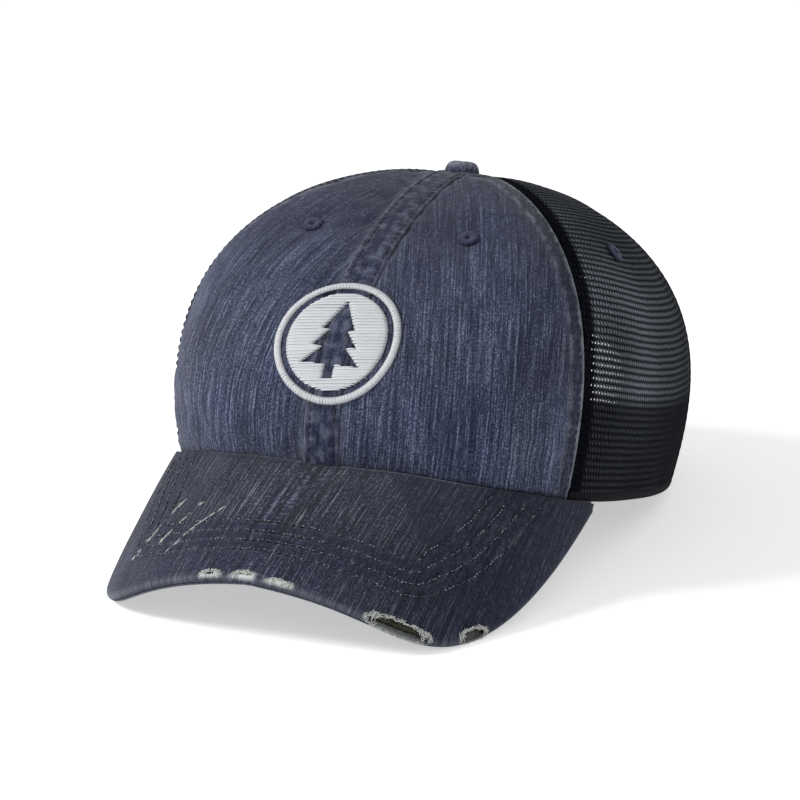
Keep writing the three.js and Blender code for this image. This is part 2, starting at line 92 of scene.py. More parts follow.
# the tack draws the cloth down round the button, which sits on it
DIMPLE_DEPTH, DIMPLE_RADIUS, BUTTON_SEAT = 1.4, 16.0, 0.2
DENIM_THICK, SEAM_GAP, EYELET_CUT = 1.0, 0.3, 2.1
NET_ACROSS, NET_UP, NET_SIDE_YARN, NET_ROW_YARN, NET_DEPTH = 1.9, 2.4, 1.58, 1.8, 0.38
STITCH_INSETS = (12.8, 17.6, 22.3, 27.4)
NEEDLE = 0.6
# spacing and thread radius of each kind of stitching, and how deep a stitch's ends go
PANEL_STITCH, STRIP_STITCH, BILL_STITCH = (2.9, 0.24), (2.9, 0.27), (2.9, 0.3)
TAPE_STITCH, BAND_STITCH, BINDING_STITCH = (3.2, 0.2), (3.0, 0.22), (2.8, 0.22)
SINK = 0.3
# the sweatband's and the tapes' offsets from the crown surface, and insets of the rows sewn along them
BAND_OUT, BAND_IN, BAND_ROW = -3.55, -4.65, 1.6
TAPE_OUT, TAPE_IN, TAPE_ROW = -1.75, -2.25, 4.2
STRIP_OUT, STRIP_SHEET, STRIP_ROW = 0.85, 0.55, 1.9
PANEL_ROWS, BINDING_ROWS = (1.9, 4.6), (-5.6, -1.0)
SIDES = (("left", 1), ("right", -1))

# ---- cap frame to row frame ----

record = frame["record"]
UP = -Vector(record["behaviour"]["joints"][0]["axis"])
TURN = Matrix(((1, 0, 0), (0, UP.z, UP.y), (0, -UP.y, UP.z)))
TACK_BOTTOM = Vector((2.5, APEX_BACK, CROWN_HEIGHT - TACK_UNDER - TACK_DISC))
ORIGIN = Vector(record["mounts"][0]["pos_m"]) * 1000 - TURN @ TACK_BOTTOM
TURN_NP, ORIGIN_NP = np.array(TURN), np.array(ORIGIN)


def world(points):
    return (np.asarray(points, float) @ TURN_NP.T + ORIGIN_NP) / 1000


# ---- crown surface ----


def crown(theta, tau):
    """Crown surface: theta round the rim from the front, tau up from the rim (0) to the apex (90 degrees)."""
    s, c = np.sin(theta), np.cos(theta)
    power = 2 / SQUARENESS
    reach = np.where(c > 0, FRONT_REACH, REAR_REACH)
    front, rear = np.maximum(0, c) ** 2, np.maximum(0, -c) ** 2
    x = HALF_WIDTH * np.sign(s) * np.abs(s) ** power
    y = -reach * np.sign(c) * np.abs(c) ** power
    z = FRONT_RISE * front + REAR_RISE * rear + SIDE_RISE * s**4
    taper = TAPER_SIDE + (TAPER_FRONT - TAPER_SIDE) * front + (TAPER_REAR - TAPER_SIDE) * rear
    inward = np.maximum(0, np.cos(tau)) ** taper * (1 + BULGE * np.sin(2 * tau))
    rise = np.maximum(0, np.sin(tau)) ** (CLIMB_SIDE + CLIMB_FRONT_EXTRA * front)
    return np.stack([x * inward, APEX_BACK + (y - APEX_BACK) * inward, z + (CROWN_HEIGHT - z) * rise], -1)


def cumulative(points, axis=0):
    """Length along a line of points, from its first."""
    steps = np.linalg.norm(np.diff(points, axis=axis), axis=-1)
    return np.concatenate([np.zeros_like(np.take(steps, [0], axis)), np.cumsum(steps, axis)], axis)


def unit(vectors):
    return vectors / np.maximum(1e-9, np.linalg.norm(vectors, axis=-1, keepdims=True))


_ANGLES = np.linspace(0, math.pi, 4001)
_LENGTHS = cumulative(crown(_ANGLES, np.zeros_like(_ANGLES)))
HALF_RIM = float(_LENGTHS[-1])


def wrap(arc):
    """The same place on the rim, between -HALF_RIM and HALF_RIM from the front centre."""
    return np.mod(np.asarray(arc, float) + HALF_RIM, 2 * HALF_RIM) - HALF_RIM


def theta_at(arc):
    return np.sign(wrap(arc)) * np.interp(np.abs(wrap(arc)), _LENGTHS, _ANGLES)


# Tables over (arc, climb): the crown's points, outward normals and width of one millimetre of arc.
ARCS = np.linspace(0, HALF_RIM, 311)
ARC_STEP, CLIMB_STEP, CLIMB_MOST = ARCS[1] - ARCS[0], 1.0, 215
_TAUS = np.linspace(0, 1, 361) ** 2 * math.pi / 2


def _column(arc, near=0.4):
    """One meridian's points, outward normals and widths, a step of climb apart."""
    arcs = (arc - near, arc, arc + near)
    before, line, after = (crown(theta_at(np.full(_TAUS.size, a)), _TAUS) for a in arcs)
    along = (after - before) / (2 * near)
    normal = np.cross(along, np.gradient(line, axis=0))
    normal[-3:] = (0, 0, 1)
    climb = cumulative(line)
    at = np.minimum(np.arange(0, CLIMB_MOST, CLIMB_STEP), climb[-1])
    width = np.linalg.norm(along, axis=1)[:, None]
    tables = (line, unit(normal), width)
    return [np.stack([np.interp(at, climb, v) for v in values.T], -1) for values in tables]


_PLACES, _NORMALS, _WIDTHS = (np.array(table) for table in zip(*(_column(arc) for arc in ARCS)))
_WIDTHS = _WIDTHS[..., 0]
_RADII = np.hypot(_PLACES[..., 0], _PLACES[..., 1] - APEX_BACK)
_PLACES[..., 2] -= DIMPLE_DEPTH * np.exp(-((_RADII / DIMPLE_RADIUS) ** 2))
_HEIGHTS = _PLACES[..., 2] - _PLACES[:, :1, 2]
FRONT_CLIMB = int(cumulative(crown(np.zeros_like(_TAUS), _TAUS))[-1])


def bilinear(grid, i, j):
    """Values of a grid of numbers or vectors, between its rows and columns."""
    i0, j0 = i.astype(int), j.astype(int)
    fi, fj = i - i0, j - j0
    if grid.ndim == 3:
        fi, fj = fi[..., None], fj[..., None]
    near = grid[i0, j0] * (1 - fi) + grid[i0 + 1, j0] * fi
    return near * (1 - fj) + (grid[i0, j0 + 1] * (1 - fi) + grid[i0 + 1, j0 + 1] * fi) * fj


def _sample(table, arc, climb):
    arc, climb = np.broadcast_arrays(wrap(arc), np.asarray(climb, float))
    i = np.clip(np.abs(arc) / ARC_STEP, 0, len(ARCS) - 1.001)
    value = bilinear(table, i, np.clip(climb / CLIMB_STEP, 0, table.shape[1] - 1.001))
    if table.ndim == 3:
        value[..., 0] *= np.where(arc < 0, -1, 1)
    return value


def on_crown(arc, climb):
    return _sample(_PLACES, arc, climb)


def normal_at(arc, climb):
    return unit(_sample(_NORMALS, arc, climb))


def off_crown(arc, climb, offset):
    return on_crown(arc, climb) + normal_at(arc, climb) * np.asarray(offset, float)[..., None]


@functools.cache
def _climbs_at_radius(radius):
    found = []
    for row in _RADII:
        k = min(np.nonzero(row > radius)[0][-1], row.size - 2)
        share = np.clip((radius - row[k]) / (row[k + 1] - row[k] or 1e-9), 0, 1)
        found.append((k + share) * CLIMB_STEP)
    return np.array(found)


def climb_at_radius(arc, radius):
    """Climb at which a meridian comes within a radius of the apex."""
    return np.interp(np.abs(wrap(arc)), ARCS, _climbs_at_radius(radius))


def climb_at_height(arc, height):
    row = _HEIGHTS[int(round(float(abs(wrap(arc))) / ARC_STEP))][:FRONT_CLIMB]
    return float(np.interp(height, row, np.arange(row.size) * CLIMB_STEP))


def nearest(points, arc, climb):
    """Places (arc, climb) on the crown nearest to points, from starting guesses."""
    arc, climb = np.array(arc, float), np.array(climb, float)
    for _ in range(10):
        along = (on_crown(arc + 1, climb) - on_crown(arc - 1, climb)) / 2
        low = np.maximum(0, climb - 0.5)
        up = (on_crown(arc, climb + 0.5) - on_crown(arc, low)) / (climb + 0.5 - low)[..., None]
        miss = points - on_crown(arc, climb)
        aa, au, uu = (along * along).sum(-1), (along * up).sum(-1), (up * up).sum(-1)
        ma, mu = (miss * along).sum(-1), (miss * up).sum(-1)
        scale = np.maximum(1e-6, aa * uu - au * au)
        arc = arc + np.clip((ma * uu - mu * au) / scale, -12, 12)
        climb = np.maximum(0, climb + np.clip((mu * aa - ma * au) / scale, -8, 8))
    return arc, climb


def tangent(arc, climb):
    return unit(on_crown(arc + 0.5, climb) - on_crown(arc - 0.5, climb))


def beside(arc, climb, aside):
    """Places lying aside millimetres to the side of a meridian, straight across it."""
    arc, climb, aside = np.broadcast_arrays(*(np.asarray(a, float) for a in (arc, climb, aside)))
    target = on_crown(arc, climb) + tangent(arc, climb) * aside[..., None]
    stretch = np.maximum(0.01, _sample(_WIDTHS, arc, climb))
    return nearest(target, arc + 0.7 * aside / stretch, climb)


# ---- noise and mesh helpers ----


class Waves:
    """Smooth seeded noise: a sum of plane waves, about -1 to 1."""

    def __init__(self, seed, size, count=24, dims=3):
        r = np.random.default_rng(seed)
        direction = unit(r.normal(size=(count, dims)))
        self.k = direction * (2 * math.pi / size) * r.uniform(0.6, 1.5, size=(count, 1))
        self.phase = r.uniform(0, 2 * math.pi, count)

    def __call__(self, *coords):
        p = np.stack(np.broadcast_arrays(*coords), -1)
        total = np.sin(p @ self.k[:, : p.shape[-1]].T + self.phase).sum(-1)
        return total / math.sqrt(self.k.shape[0] / 2) * 0.6


soft, ripple, tiny, fuzz = Waves(3, 46), Waves(5, 17), Waves(9, 6), Waves(21, 1.6, dims=2)


def bump(x, width):
    return np.exp(-((x / width) ** 2))


def falling(x, middle, width):
    """From 1 to 0 as x passes middle."""
    return 1 / (1 + np.exp((x - middle) / width))


def smoothstep(x, low, high):
    t = np.clip((x - low) / (high - low), 0, 1)
    return t * t * (3 - 2 * t)


def build(name, points, faces, material, layers=None, nodes=(), body="root"):
    """A piece from points in the cap frame, arrays of faces and layers of values, in place of CAD nodes."""
    faces = [np.asarray(f, int) for f in faces if len(f)]
    sizes = np.concatenate([np.full(len(f), f.shape[1]) for f in faces])
    mesh = bpy.data.meshes.new(name)
    mesh.vertices.add(len(points))
    mesh.vertices.foreach_set("co", world(points).astype(np.float32).ravel())
    loops = np.concatenate([f.ravel() for f in faces])
    mesh.loops.add(len(loops))
    mesh.loops.foreach_set("vertex_index", loops.astype(np.int32))
    mesh.polygons.add(len(sizes))
    mesh.polygons.foreach_set("loop_start", np.concatenate([[0], np.cumsum(sizes)[:-1]]).astype(np.int32))
    mesh.update(calc_edges=True)
    mesh.polygons.foreach_set("use_smooth", np.full(len(sizes), True))
    for key, values in (layers or {}).items():
        values = np.asarray(values, np.float32)
        kind, field = ("FLOAT_VECTOR", "vector") if values.ndim == 2 else ("FLOAT", "value")
        mesh.attributes.new(key, kind, "POINT").data.foreach_set(field, values.ravel())
    mesh.materials.append(material)
    mesh.validate()
    obj = bpy.data.objects.new(name, mesh)
    bpy.context.collection.objects.link(obj)
    if nodes:
        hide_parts(*nodes)
    if body:
        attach(obj, body)
    return obj


def grid_faces(rows, columns, start=0, close=False):
    r, c = np.meshgrid(np.arange(rows - 1), np.arange(columns if close else columns - 1), indexing="ij")
    d = (c + 1) % columns
    quads = np.stack([r * columns + c, r * columns + d, (r + 1) * columns + d, (r + 1) * columns + c], -1)
    return quads.reshape(-1, 4) + start


def tube_faces(rings, sides, start=0):
    """Quads round a tube of rings of points, and its two end faces."""
    first = start + np.arange(sides)
    return grid_faces(rings, sides, start, close=True), np.stack([first[::-1], first + (rings - 1) * sides])


def bare_edges(quads):
    """Edges that one quad only uses."""
    edges = np.concatenate([quads[:, [k, (k + 1) % 4]] for k in range(4)])
    size = quads.max() + 1
    forward, back = edges[:, 0] * size + edges[:, 1], edges[:, 1] * size + edges[:, 0]
    return edges[~np.isin(forward, back)]


def weld(points, step):
    """The points kept when those within a step of each other merge, and each point's number among them."""
    _, number = np.unique(np.round(points / step).astype(np.int64), axis=0, return_inverse=True)
    number = number.ravel()
    first = np.zeros(number.max() + 1, int)
    first[number[::-1]] = np.arange(len(points))[::-1]
    return first, number


def sheet(name, outer, inner, material, layers, nodes=(), keep=None):
    """Closed sheet between two grids of points. keep drops faces; the edges round what is left are closed."""
    rows, columns = outer.shape[:2]
    count = rows * columns
    front = grid_faces(rows, columns)
    if keep is not None:
        front = front[keep.reshape(-1)]
    rim = bare_edges(front)
    sides = np.stack([rim[:, 1], rim[:, 0], rim[:, 0] + count, rim[:, 1] + count], -1)
    faces = np.concatenate([front, front[:, ::-1] + count, sides])
    used = np.unique(faces)
    index = np.full(2 * count, -1)
    index[used] = np.arange(len(used))
    points = np.concatenate([outer.reshape(-1, 3), inner.reshape(-1, 3)])
    shown = {}
    for key, values in layers.items():
        values = values.reshape(count, 3) if values.ndim == 3 else np.clip(values, 0, 1).reshape(count)
        shown[key] = values[used % count]
    return build(name, points[used], [index[faces]], material, shown, nodes)


class Threads:
    """Collects round threads, each along its own short path, into one mesh."""

    def __init__(self, sides=6):
        self.sides, self.points, self.quads, self.caps, self.along, self.count = sides, [], [], [], [], 0

    def add(self, path, normals, radius, flat=1.0, taper=0.35):
        rings, sides = len(path), self.sides
        heading = unit(np.gradient(path, axis=0))
        side = unit(np.cross(heading, normals))
        up = np.cross(side, heading)
        share = np.linspace(0, 1, rings)
        ends = np.minimum(share, 1 - share) * 2 * rings
        size = radius * np.clip(ends * (1 - taper) + taper, 0, 1)[:, None]
        turn = np.arange(sides) * 2 * math.pi / sides
        points = path[:, None] + (side * size)[:, None] * np.cos(turn)[None, :, None]
        points = points + (up * size * flat)[:, None] * np.sin(turn)[None, :, None]
        quads, caps = tube_faces(rings, sides, self.count)
        self.points.append(points.reshape(-1, 3))
        self.quads.append(quads)
        self.caps.append(caps)
        number = np.full(rings * sides, len(self.points))
        self.along.append(np.stack([np.repeat(cumulative(path), sides), np.tile(turn, rings), number], -1))
        self.count += rings * sides

    def build(self, name, material, slot, nodes=()):
        faces = [np.concatenate(self.quads), np.concatenate(self.caps)]
        layers = {"thread": np.concatenate(self.along)}
        return build(name, np.concatenate(self.points), faces, material, layers, nodes)


def between(at, length, line):
    """Points at given lengths along a line."""
    return np.stack([np.interp(at, length, line[:, k]) for k in range(3)], -1)


def stitch_row(threads, line, normals, stitch, share=0.72, sink=SINK):
    """Running stitches along a line of points."""
    pitch, radius = stitch
    length = cumulative(line)
    dip = np.array([-sink, 0.0, 0.08, 0.0, -sink])[:, None]
    for start in np.arange(0.6, length[-1] - pitch, pitch):
        at = np.linspace(start, start + pitch * share, dip.size)
        normal = between(at, length, normals)
        threads.add(between(at, length, line) + normal * dip, normal, radius, flat=0.8)


def sew(threads, arc, climb, offset, stitch, sink=SINK):
    """Running stitches along a line of places on the crown."""
    stitch_row(threads, off_crown(arc, climb, offset), normal_at(arc, climb), stitch, sink=sink)


# ---- materials ----


def linear(hex_color):
    rgb = [int(hex_color[i : i + 2], 16) / 255 for i in (0, 2, 4)]
    return [c / 12.92 if c <= 0.04045 else ((c + 0.055) / 1.055) ** 2.4 for c in rgb] + [1.0]


class Shader:
    """Short names for building a node material."""

    def __init__(self, name):
        self.material = bpy.data.materials.new(name)
        self.material.use_nodes = True
        self.tree = self.material.node_tree
        self.surface = self.tree.nodes["Principled BSDF"]

    def node(self, kind, operation=None, **inputs):
        n = self.tree.nodes.new("ShaderNode" + kind)
        if operation:
            n.operation = operation
        for key, value in inputs.items():
            self.put(n.inputs[int(key[1:]) if key[1:].isdigit() else key], value)
        return n

    def put(self, socket, value):
        if isinstance(value, bpy.types.NodeSocket):
            self.tree.links.new(value, socket)
        else:
            socket.default_value = value

    def attribute(self, name, output="Fac"):
        n = self.tree.nodes.new("ShaderNodeAttribute")
        n.attribute_name = name
        return n.outputs[output]

    def math(self, operation, a, b=0.0, c=0.0):
        return self.node("Math", operation, i0=a, i1=b, i2=c).outputs[0]

    def scaled(self, vector, x, y, z=1.0):
        return self.node("VectorMath", "MULTIPLY", i0=vector, i1=(x, y, z)).outputs[0]

    def split(self, vector):
        return self.node("SeparateXYZ", i0=vector).outputs

    def noise(self, vector, scale=1.0, detail=2.0, rough=0.5):
        n = self.node("TexNoise", Vector=vector, Scale=scale, Detail=detail, Roughness=rough)
        return n.outputs["Fac"]

    def ramp(self, factor, low, high, to_low=0.0, to_high=1.0):
        return self.node("MapRange", i0=factor, i1=low, i2=high, i3=to_low, i4=to_high).outputs[0]

    def mix(self, factor, a, b, blend="MIX"):
        n = self.tree.nodes.new("ShaderNodeMix")
        n.data_type, n.blend_type = "RGBA", blend
        self.put(n.inputs[0], factor)
        self.put(n.inputs[6], a)
        self.put(n.inputs[7], b)
        return n.outputs[2]

    def bump(self, height, strength, distance):
        n = self.node("Bump", Height=height, Strength=strength, Distance=distance / 1000)
        self.tree.links.new(n.outputs[0], self.surface.inputs["Normal"])

    def finish(self, color, roughness, sheen=0.0, metallic=0.0, specular=0.3):
        self.put(self.surface.inputs["Base Color"], color)
        self.put(self.surface.inputs["Roughness"], roughness)
        self.put(self.surface.inputs["Metallic"], metallic)
        self.put(self.surface.inputs["Specular IOR Level"], specular)
        if sheen:
            self.surface.inputs["Sheen Weight"].default_value = sheen
            self.surface.inputs["Sheen Roughness"].default_value = 0.6
        return self.material


def denim(name, dark, middle, light, slub=1.0, streak=0.0, worn="9aa0a8", deep="13162a"):
    """Washed slub denim. Reads grain (x, y in mm), wear, deep and fray from the mesh."""
    s = Shader(name)
    grain = s.attribute("grain", "Vector")

    def grained(x, y, detail=2, rough=0.5):
        return s.noise(s.scaled(grain, x, y), 1.0, detail, rough)

    lines, slubs = grained(1.3, 0.03, 2, 0.7), grained(1.7, 0.22, 2, 0.65)
    weft, speck = grained(0.5, 2.2, 2, 0.6), grained(1.7, 1.1, 2, 0.8)
    total = s.math("MULTIPLY_ADD", lines, 0.4 * slub, s.math("MULTIPLY", slubs, 0.2 * slub))
    total = s.math("ADD", total, s.math("MULTIPLY_ADD", weft, 0.12, s.math("MULTIPLY", speck, 0.42)))
    half = 0.5 * (0.6 * slub + 0.54)
    level = s.ramp(total, half - 0.085, half + 0.115)
    color = s.mix(s.ramp(level, 0.0, 0.5), linear(dark), linear(middle))
    color = s.mix(s.ramp(level, 0.5, 1.0), color, linear(light))
    # the wash has left broad patches, cool and warm, pale and dark
    cool = s.mix(s.ramp(grained(0.022, 0.018), 0.35, 0.65), (0.86, 0.94, 1.1, 1), (1.06, 1.03, 0.92, 1))
    color = s.mix(0.5, color, s.mix(1.0, color, cool, "MULTIPLY"))
    shade = s.ramp(grained(0.05, 0.03), 0.3, 0.7, 0.82, 1.16)
    color = s.mix(1.0, color, s.node("CombineXYZ", i0=shade, i1=shade, i2=shade).outputs[0], "MULTIPLY")
    if streak:
        line, broken = grained(1.9, 0.02, 4, 0.8), grained(0.7, 0.09)
        amount = s.math("MULTIPLY", s.ramp(line, 0.57, 0.66), s.ramp(broken, 0.38, 0.62))
        color = s.mix(s.math("MULTIPLY", amount, streak), color, linear("9da2aa"))
    # the deep layer darkens towards unfaded indigo; on the front panels, the strip and the bill it also holds
    # painted shade
    mottle = s.ramp(grained(0.45, 0.45, 3, 0.65), 0.36, 0.62, 0.35, 1.0)
    deep_amount = s.math("MULTIPLY", s.attribute("deep"), mottle)
    color = s.mix(deep_amount, color, s.mix(s.ramp(level, 0.2, 1.0), linear(deep), linear("1f2543")))
    patchy = s.ramp(grained(0.9, 0.9, 3, 0.6), 0.35, 0.65, 0.3, 1.0)
    # the wear layer pales the cloth; on the front panels part of it is painted highlight on the puckers
    color = s.mix(s.math("MULTIPLY", s.attribute("wear"), patchy), color, linear(worn))
    rags = s.ramp(grained(1.6, 1.6, 4, 0.7), 0.34, 0.5)
    fray = s.math("MULTIPLY", s.attribute("fray"), rags)
    color = s.mix(fray, color, linear("c9cdc9"))
    s.bump(s.math("ADD", total, s.math("MULTIPLY", fray, 0.5)), 0.55, 0.4)
    return s.finish(color, s.ramp(level, 0, 1, 0.97, 0.86), sheen=0.12, specular=0.12)


def thread_material(name, color, shadow, rough=0.55, sheen=0.2):
    """Two-ply thread. Reads thread (length, turn, number) from the mesh."""
    s = Shader(name)
    along = s.attribute("thread", "Vector")
    parts = s.split(along)
    turn = s.math("MULTIPLY_ADD", parts[0], 9.0, parts[1])
    ply = s.math("SINE", s.math("MULTIPLY", turn, 2.0))
    level = s.math("MULTIPLY_ADD", ply, 0.22, s.noise(s.scaled(along, 3.0, 2.0, 7.0), 1.0, 3, 0.6))
    out = s.mix(s.ramp(level, 0.2, 0.8), linear(shadow), linear(color))
    s.bump(level, 0.5, 0.12)
    return s.finish(out, rough, sheen=sheen)


def net_material():
    """Net yarn: dark along the rows; the upright yarns, where they stand proud, are painted paler as
    highlight.
    """
    s = Shader("net_yarn")
    yarn = s.noise(s.scaled(s.attribute("grain", "Vector"), 3.5, 1.2), 1.0, 3, 0.6)
    color = s.mix(s.ramp(yarn, 0.3, 0.75), linear("030409"), linear("0a0c15"))
    # painted highlight: the wear layer marks the proud upright yarns, which are made pale
    upright = s.math("MULTIPLY", s.attribute("wear"), s.ramp(yarn, 0.25, 0.7, 0.4, 1.0))
    color = s.mix(upright, color, linear("9ba1ac"))
    s.bump(yarn, 0.5, 0.12)
    return s.finish(color, s.ramp(yarn, 0.2, 0.8, 0.85, 0.7), specular=0.02)


def webbing_material(name, dark, light, pitch=1.1):
    s = Shader(name)
    grain = s.attribute("grain", "Vector")
    x, y = s.split(grain)[:2]
    turn = 2 * math.pi / pitch
    ribs = [s.math("SINE", s.math("MULTIPLY", s.math(way, x, y), turn)) for way in ("ADD", "SUBTRACT")]
    weave = s.math("MULTIPLY", *ribs)
    level = s.math("MULTIPLY_ADD", weave, 0.25, s.noise(grain, 1.6, 3, 0.6))
    color = s.mix(s.ramp(level, 0.2, 0.8), linear(dark), linear(light))
    s.bump(level, 0.6, 0.25)
    return s.finish(color, 0.95, sheen=0.04, specular=0.06)


def object_material(name, dark, light, scale, rough, metallic=0.0, relief=0.05):
    """For moulded plastic, board and metal, whose pattern comes from object coordinates."""
    s = Shader(name)
    coords = s.node("TexCoord").outputs["Object"]
    fine, broad = s.noise(coords, scale, 3, 0.6), s.noise(coords, scale * 0.08, 2, 0.5)
    color = s.mix(s.ramp(fine, 0.3, 0.7), linear(dark), linear(light))
    s.bump(fine, 0.4, relief)
    roughness = s.ramp(broad, 0.3, 0.7, rough - 0.08, rough + 0.08)
    return s.finish(color, roughness, metallic=metallic, specular=0.4)


M_FRONT = denim("front_denim", "181c30", "363c53", "757b90")
M_BILL = denim("bill_denim", "080914", "24283b", "6a7084", slub=0.9, streak=0.9, worn="868b93", deep="0f1228")
M_STRIP = denim("strip_denim", "0d1020", "2a3048", "656b84", slub=0.6, worn="8d93a4", deep="0f1228")
M_BUTTON = denim("button_denim", "262b3e", "464c60", "7f8496", slub=0.8)
M_NET = net_material()
M_TAPE = webbing_material("seam_tape_weave", "05060b", "11131c")
M_BAND = webbing_material("sweatband_weave", "06070c", "13151e", 0.9)
M_BIND = webbing_material("binding_weave", "11131b", "282b38", 1.0)
M_NAVY = thread_material("navy_thread", "161a30", "07080f")
M_EYELET = thread_material("eyelet_thread", "242b5c", "0e1129")
M_PALE = thread_material("pale_thread", "f2f3f4", "a9adb6", 0.42, 0.3)
M_WORN = thread_material("worn_thread", "c3c8d2", "7a8195", 0.8, 0.1)
M_FRAY = thread_material("frayed_cotton", "e4e5e1", "9b9f9c", 0.9, 0.3)
M_PLASTIC = object_material("snap_plastic", "14161f", "1f222e", 900, 0.42)
M_BOARD = object_material("olive_board", "2a2c22", "4d5042", 700, 0.85, relief=0.2)
M_STEEL = object_material("plated_steel", "77797e", "9a9ca1", 1500, 0.32, metallic=1.0)

# ---- denim panels ----


class Panel:
    """Local millimetres on one crown panel: x across from its middle, y up its middle line."""

    def __init__(self, start, end, top_radius=3.4):
        self.middle, self.half, self.radius = (start + end) / 2, (end - start) / 2, top_radius
        self.shares = np.linspace(0, 1, 121)
        arc, share = np.meshgrid(np.linspace(start, end, 61), self.shares)
        rows = on_crown(arc, share * climb_at_radius(arc, top_radius))
        self.half_widths = cumulative(rows, 1)[:, -1] / 2
        self.length = float(climb_at_radius(self.middle, top_radius))

    def half_width(self, y):
        return np.interp(y / self.length, self.shares, self.half_widths)

    def place(self, x, y):
        arc = self.middle + x / np.maximum(0.5, self.half_width(y)) * self.half
        return arc, y / self.length * climb_at_radius(arc, self.radius)


def cloth_modifier(sheet_object, frames):
    cloth = sheet_object.modifiers.new("Cloth", "CLOTH")
    settings = cloth.settings
    settings.quality = 6
    settings.mass = 0.2
    settings.tension_stiffness = settings.compression_stiffness = 30
    settings.shear_stiffness = 10
    settings.bending_stiffness = 2
    settings.vertex_group_mass = "held"
    settings.shrink_min = -0.012
    settings.use_pressure = True
    settings.uniform_pressure_force = 1.2
    settings.effector_weights.gravity = 0
    cloth.collision_settings.use_collision = False
    cloth.point_cache.frame_start, cloth.point_cache.frame_end = 1, frames


def settle(points, frames=16, held=2):
    """A short cloth run on a coarse sheet held round its edge; returns how far each point moved."""
    rows, columns = points.shape[:2]
    before = world(points.reshape(-1, 3))
    mesh = bpy.data.meshes.new("settling")
    mesh.from_pydata(before.tolist(), [], grid_faces(rows, columns).tolist())
    cloth = bpy.data.objects.new("settling", mesh)
    bpy.context.collection.objects.link(cloth)
    pinned = np.ones((rows, columns), bool)
    pinned[held:-held, held:-held] = False
    cloth.vertex_groups.new(name="held").add(np.nonzero(pinned.ravel())[0].tolist(), 1.0, "REPLACE")
    cloth_modifier(cloth, frames)
    for number in range(1, frames + 1):
        bpy.context.scene.frame_set(number)
    after = np.empty(before.size, np.float32)
    cloth.evaluated_get(bpy.context.evaluated_depsgraph_get()).data.vertices.foreach_get("co", after)
    bpy.data.objects.remove(cloth)
    bpy.data.meshes.remove(mesh)
    bpy.context.scene.frame_set(1)
    return ((after.reshape(-1, 3) - before) * 1000 @ TURN_NP).reshape(rows, columns, 3)


def enlarge(grid, rows, columns):
    i = np.linspace(0, grid.shape[0] - 1.001, rows)
    return bilinear(grid, i[:, None], np.linspace(0, grid.shape[1] - 1.001, columns)[None])


def settled(arc, climb, lift, hole):
    """Extra lift from a cloth run on every third point, kept off the eyelet."""
    third = (slice(None, None, 3),) * 2
    moved = settle(off_crown(arc[third], climb[third], lift[third]))
    outward = np.clip((moved * normal_at(arc[third], climb[third])).sum(-1), -1.0, 1.2)
    at_hole = bump(np.linalg.norm(on_crown(arc, climb) - hole, axis=-1), 8.0)
    return enlarge(outward, *arc.shape) * (1 - at_hole)


def front_folds(sign, x, y, climb, outer_edge, pull):
    """Lift of the denim: soft folds, puckers beside the mesh seam, its felled edge and the turned hem."""
    folds = 0.55 * soft(sign * x, y, 4.0 * sign) + 0.16 * ripple(sign * x, y, 9.0 * sign)
    pucker = 0.13 * np.sin(2 * math.pi * climb / 4.6 + 2 * tiny(x, y)) * bump(outer_edge - 6.0, 2.2)
    gather = 0.25 * np.sin(2 * math.pi * x / 7.0 + 3 * tiny(x, y)) * bump(y - 4, 5)
    return folds * pull + pucker + 0.45 * falling(outer_edge, 5.6, 0.35) - 0.5 * bump(y, 3.0) + gather


def front_layers(sign, x, y, climb, inner_edge, outer_edge):
    """Pale wear on the felled seam's edges, with pale blotches along them that are partly wear and partly
    painted highlights on the puckers; dirt and unfaded dye on the seam and the hem; painted shade, darker
    towards the top.
    """
    band = falling(outer_edge, 5.2, 0.35) * falling(-outer_edge, -0.9, 0.2)
    blotches = np.clip(0.5 + 1.2 * tiny(x * 0.5 + 40 * sign, climb), 0, 1)
    wear = 0.75 * bump(outer_edge - 0.25, 0.45) + 0.12 * bump(outer_edge - 6.4, 0.9)
    wear = wear + 0.15 * bump(inner_edge - 7.3, 1.2)
    # painted highlight, partly wear: pale blotches along the band's two edges stand for light on its puckers
    wear = wear + 0.6 * blotches * (bump(outer_edge - 1.1, 0.6) + 0.8 * bump(outer_edge - 5.7, 0.7))
    deep = 1.6 * band + 0.8 * bump(y - 0.4, 1.4) + 0.35 * bump(inner_edge - 6.7, 0.8)
    # painted shade: darker towards the crown's top, where the lamps light most
    deep = deep + 0.75 * smoothstep(y, 55, 115)
    return {"grain": np.stack([x + 200 * sign + 500, y, 0 * x], -1), "wear": wear, "deep": deep}


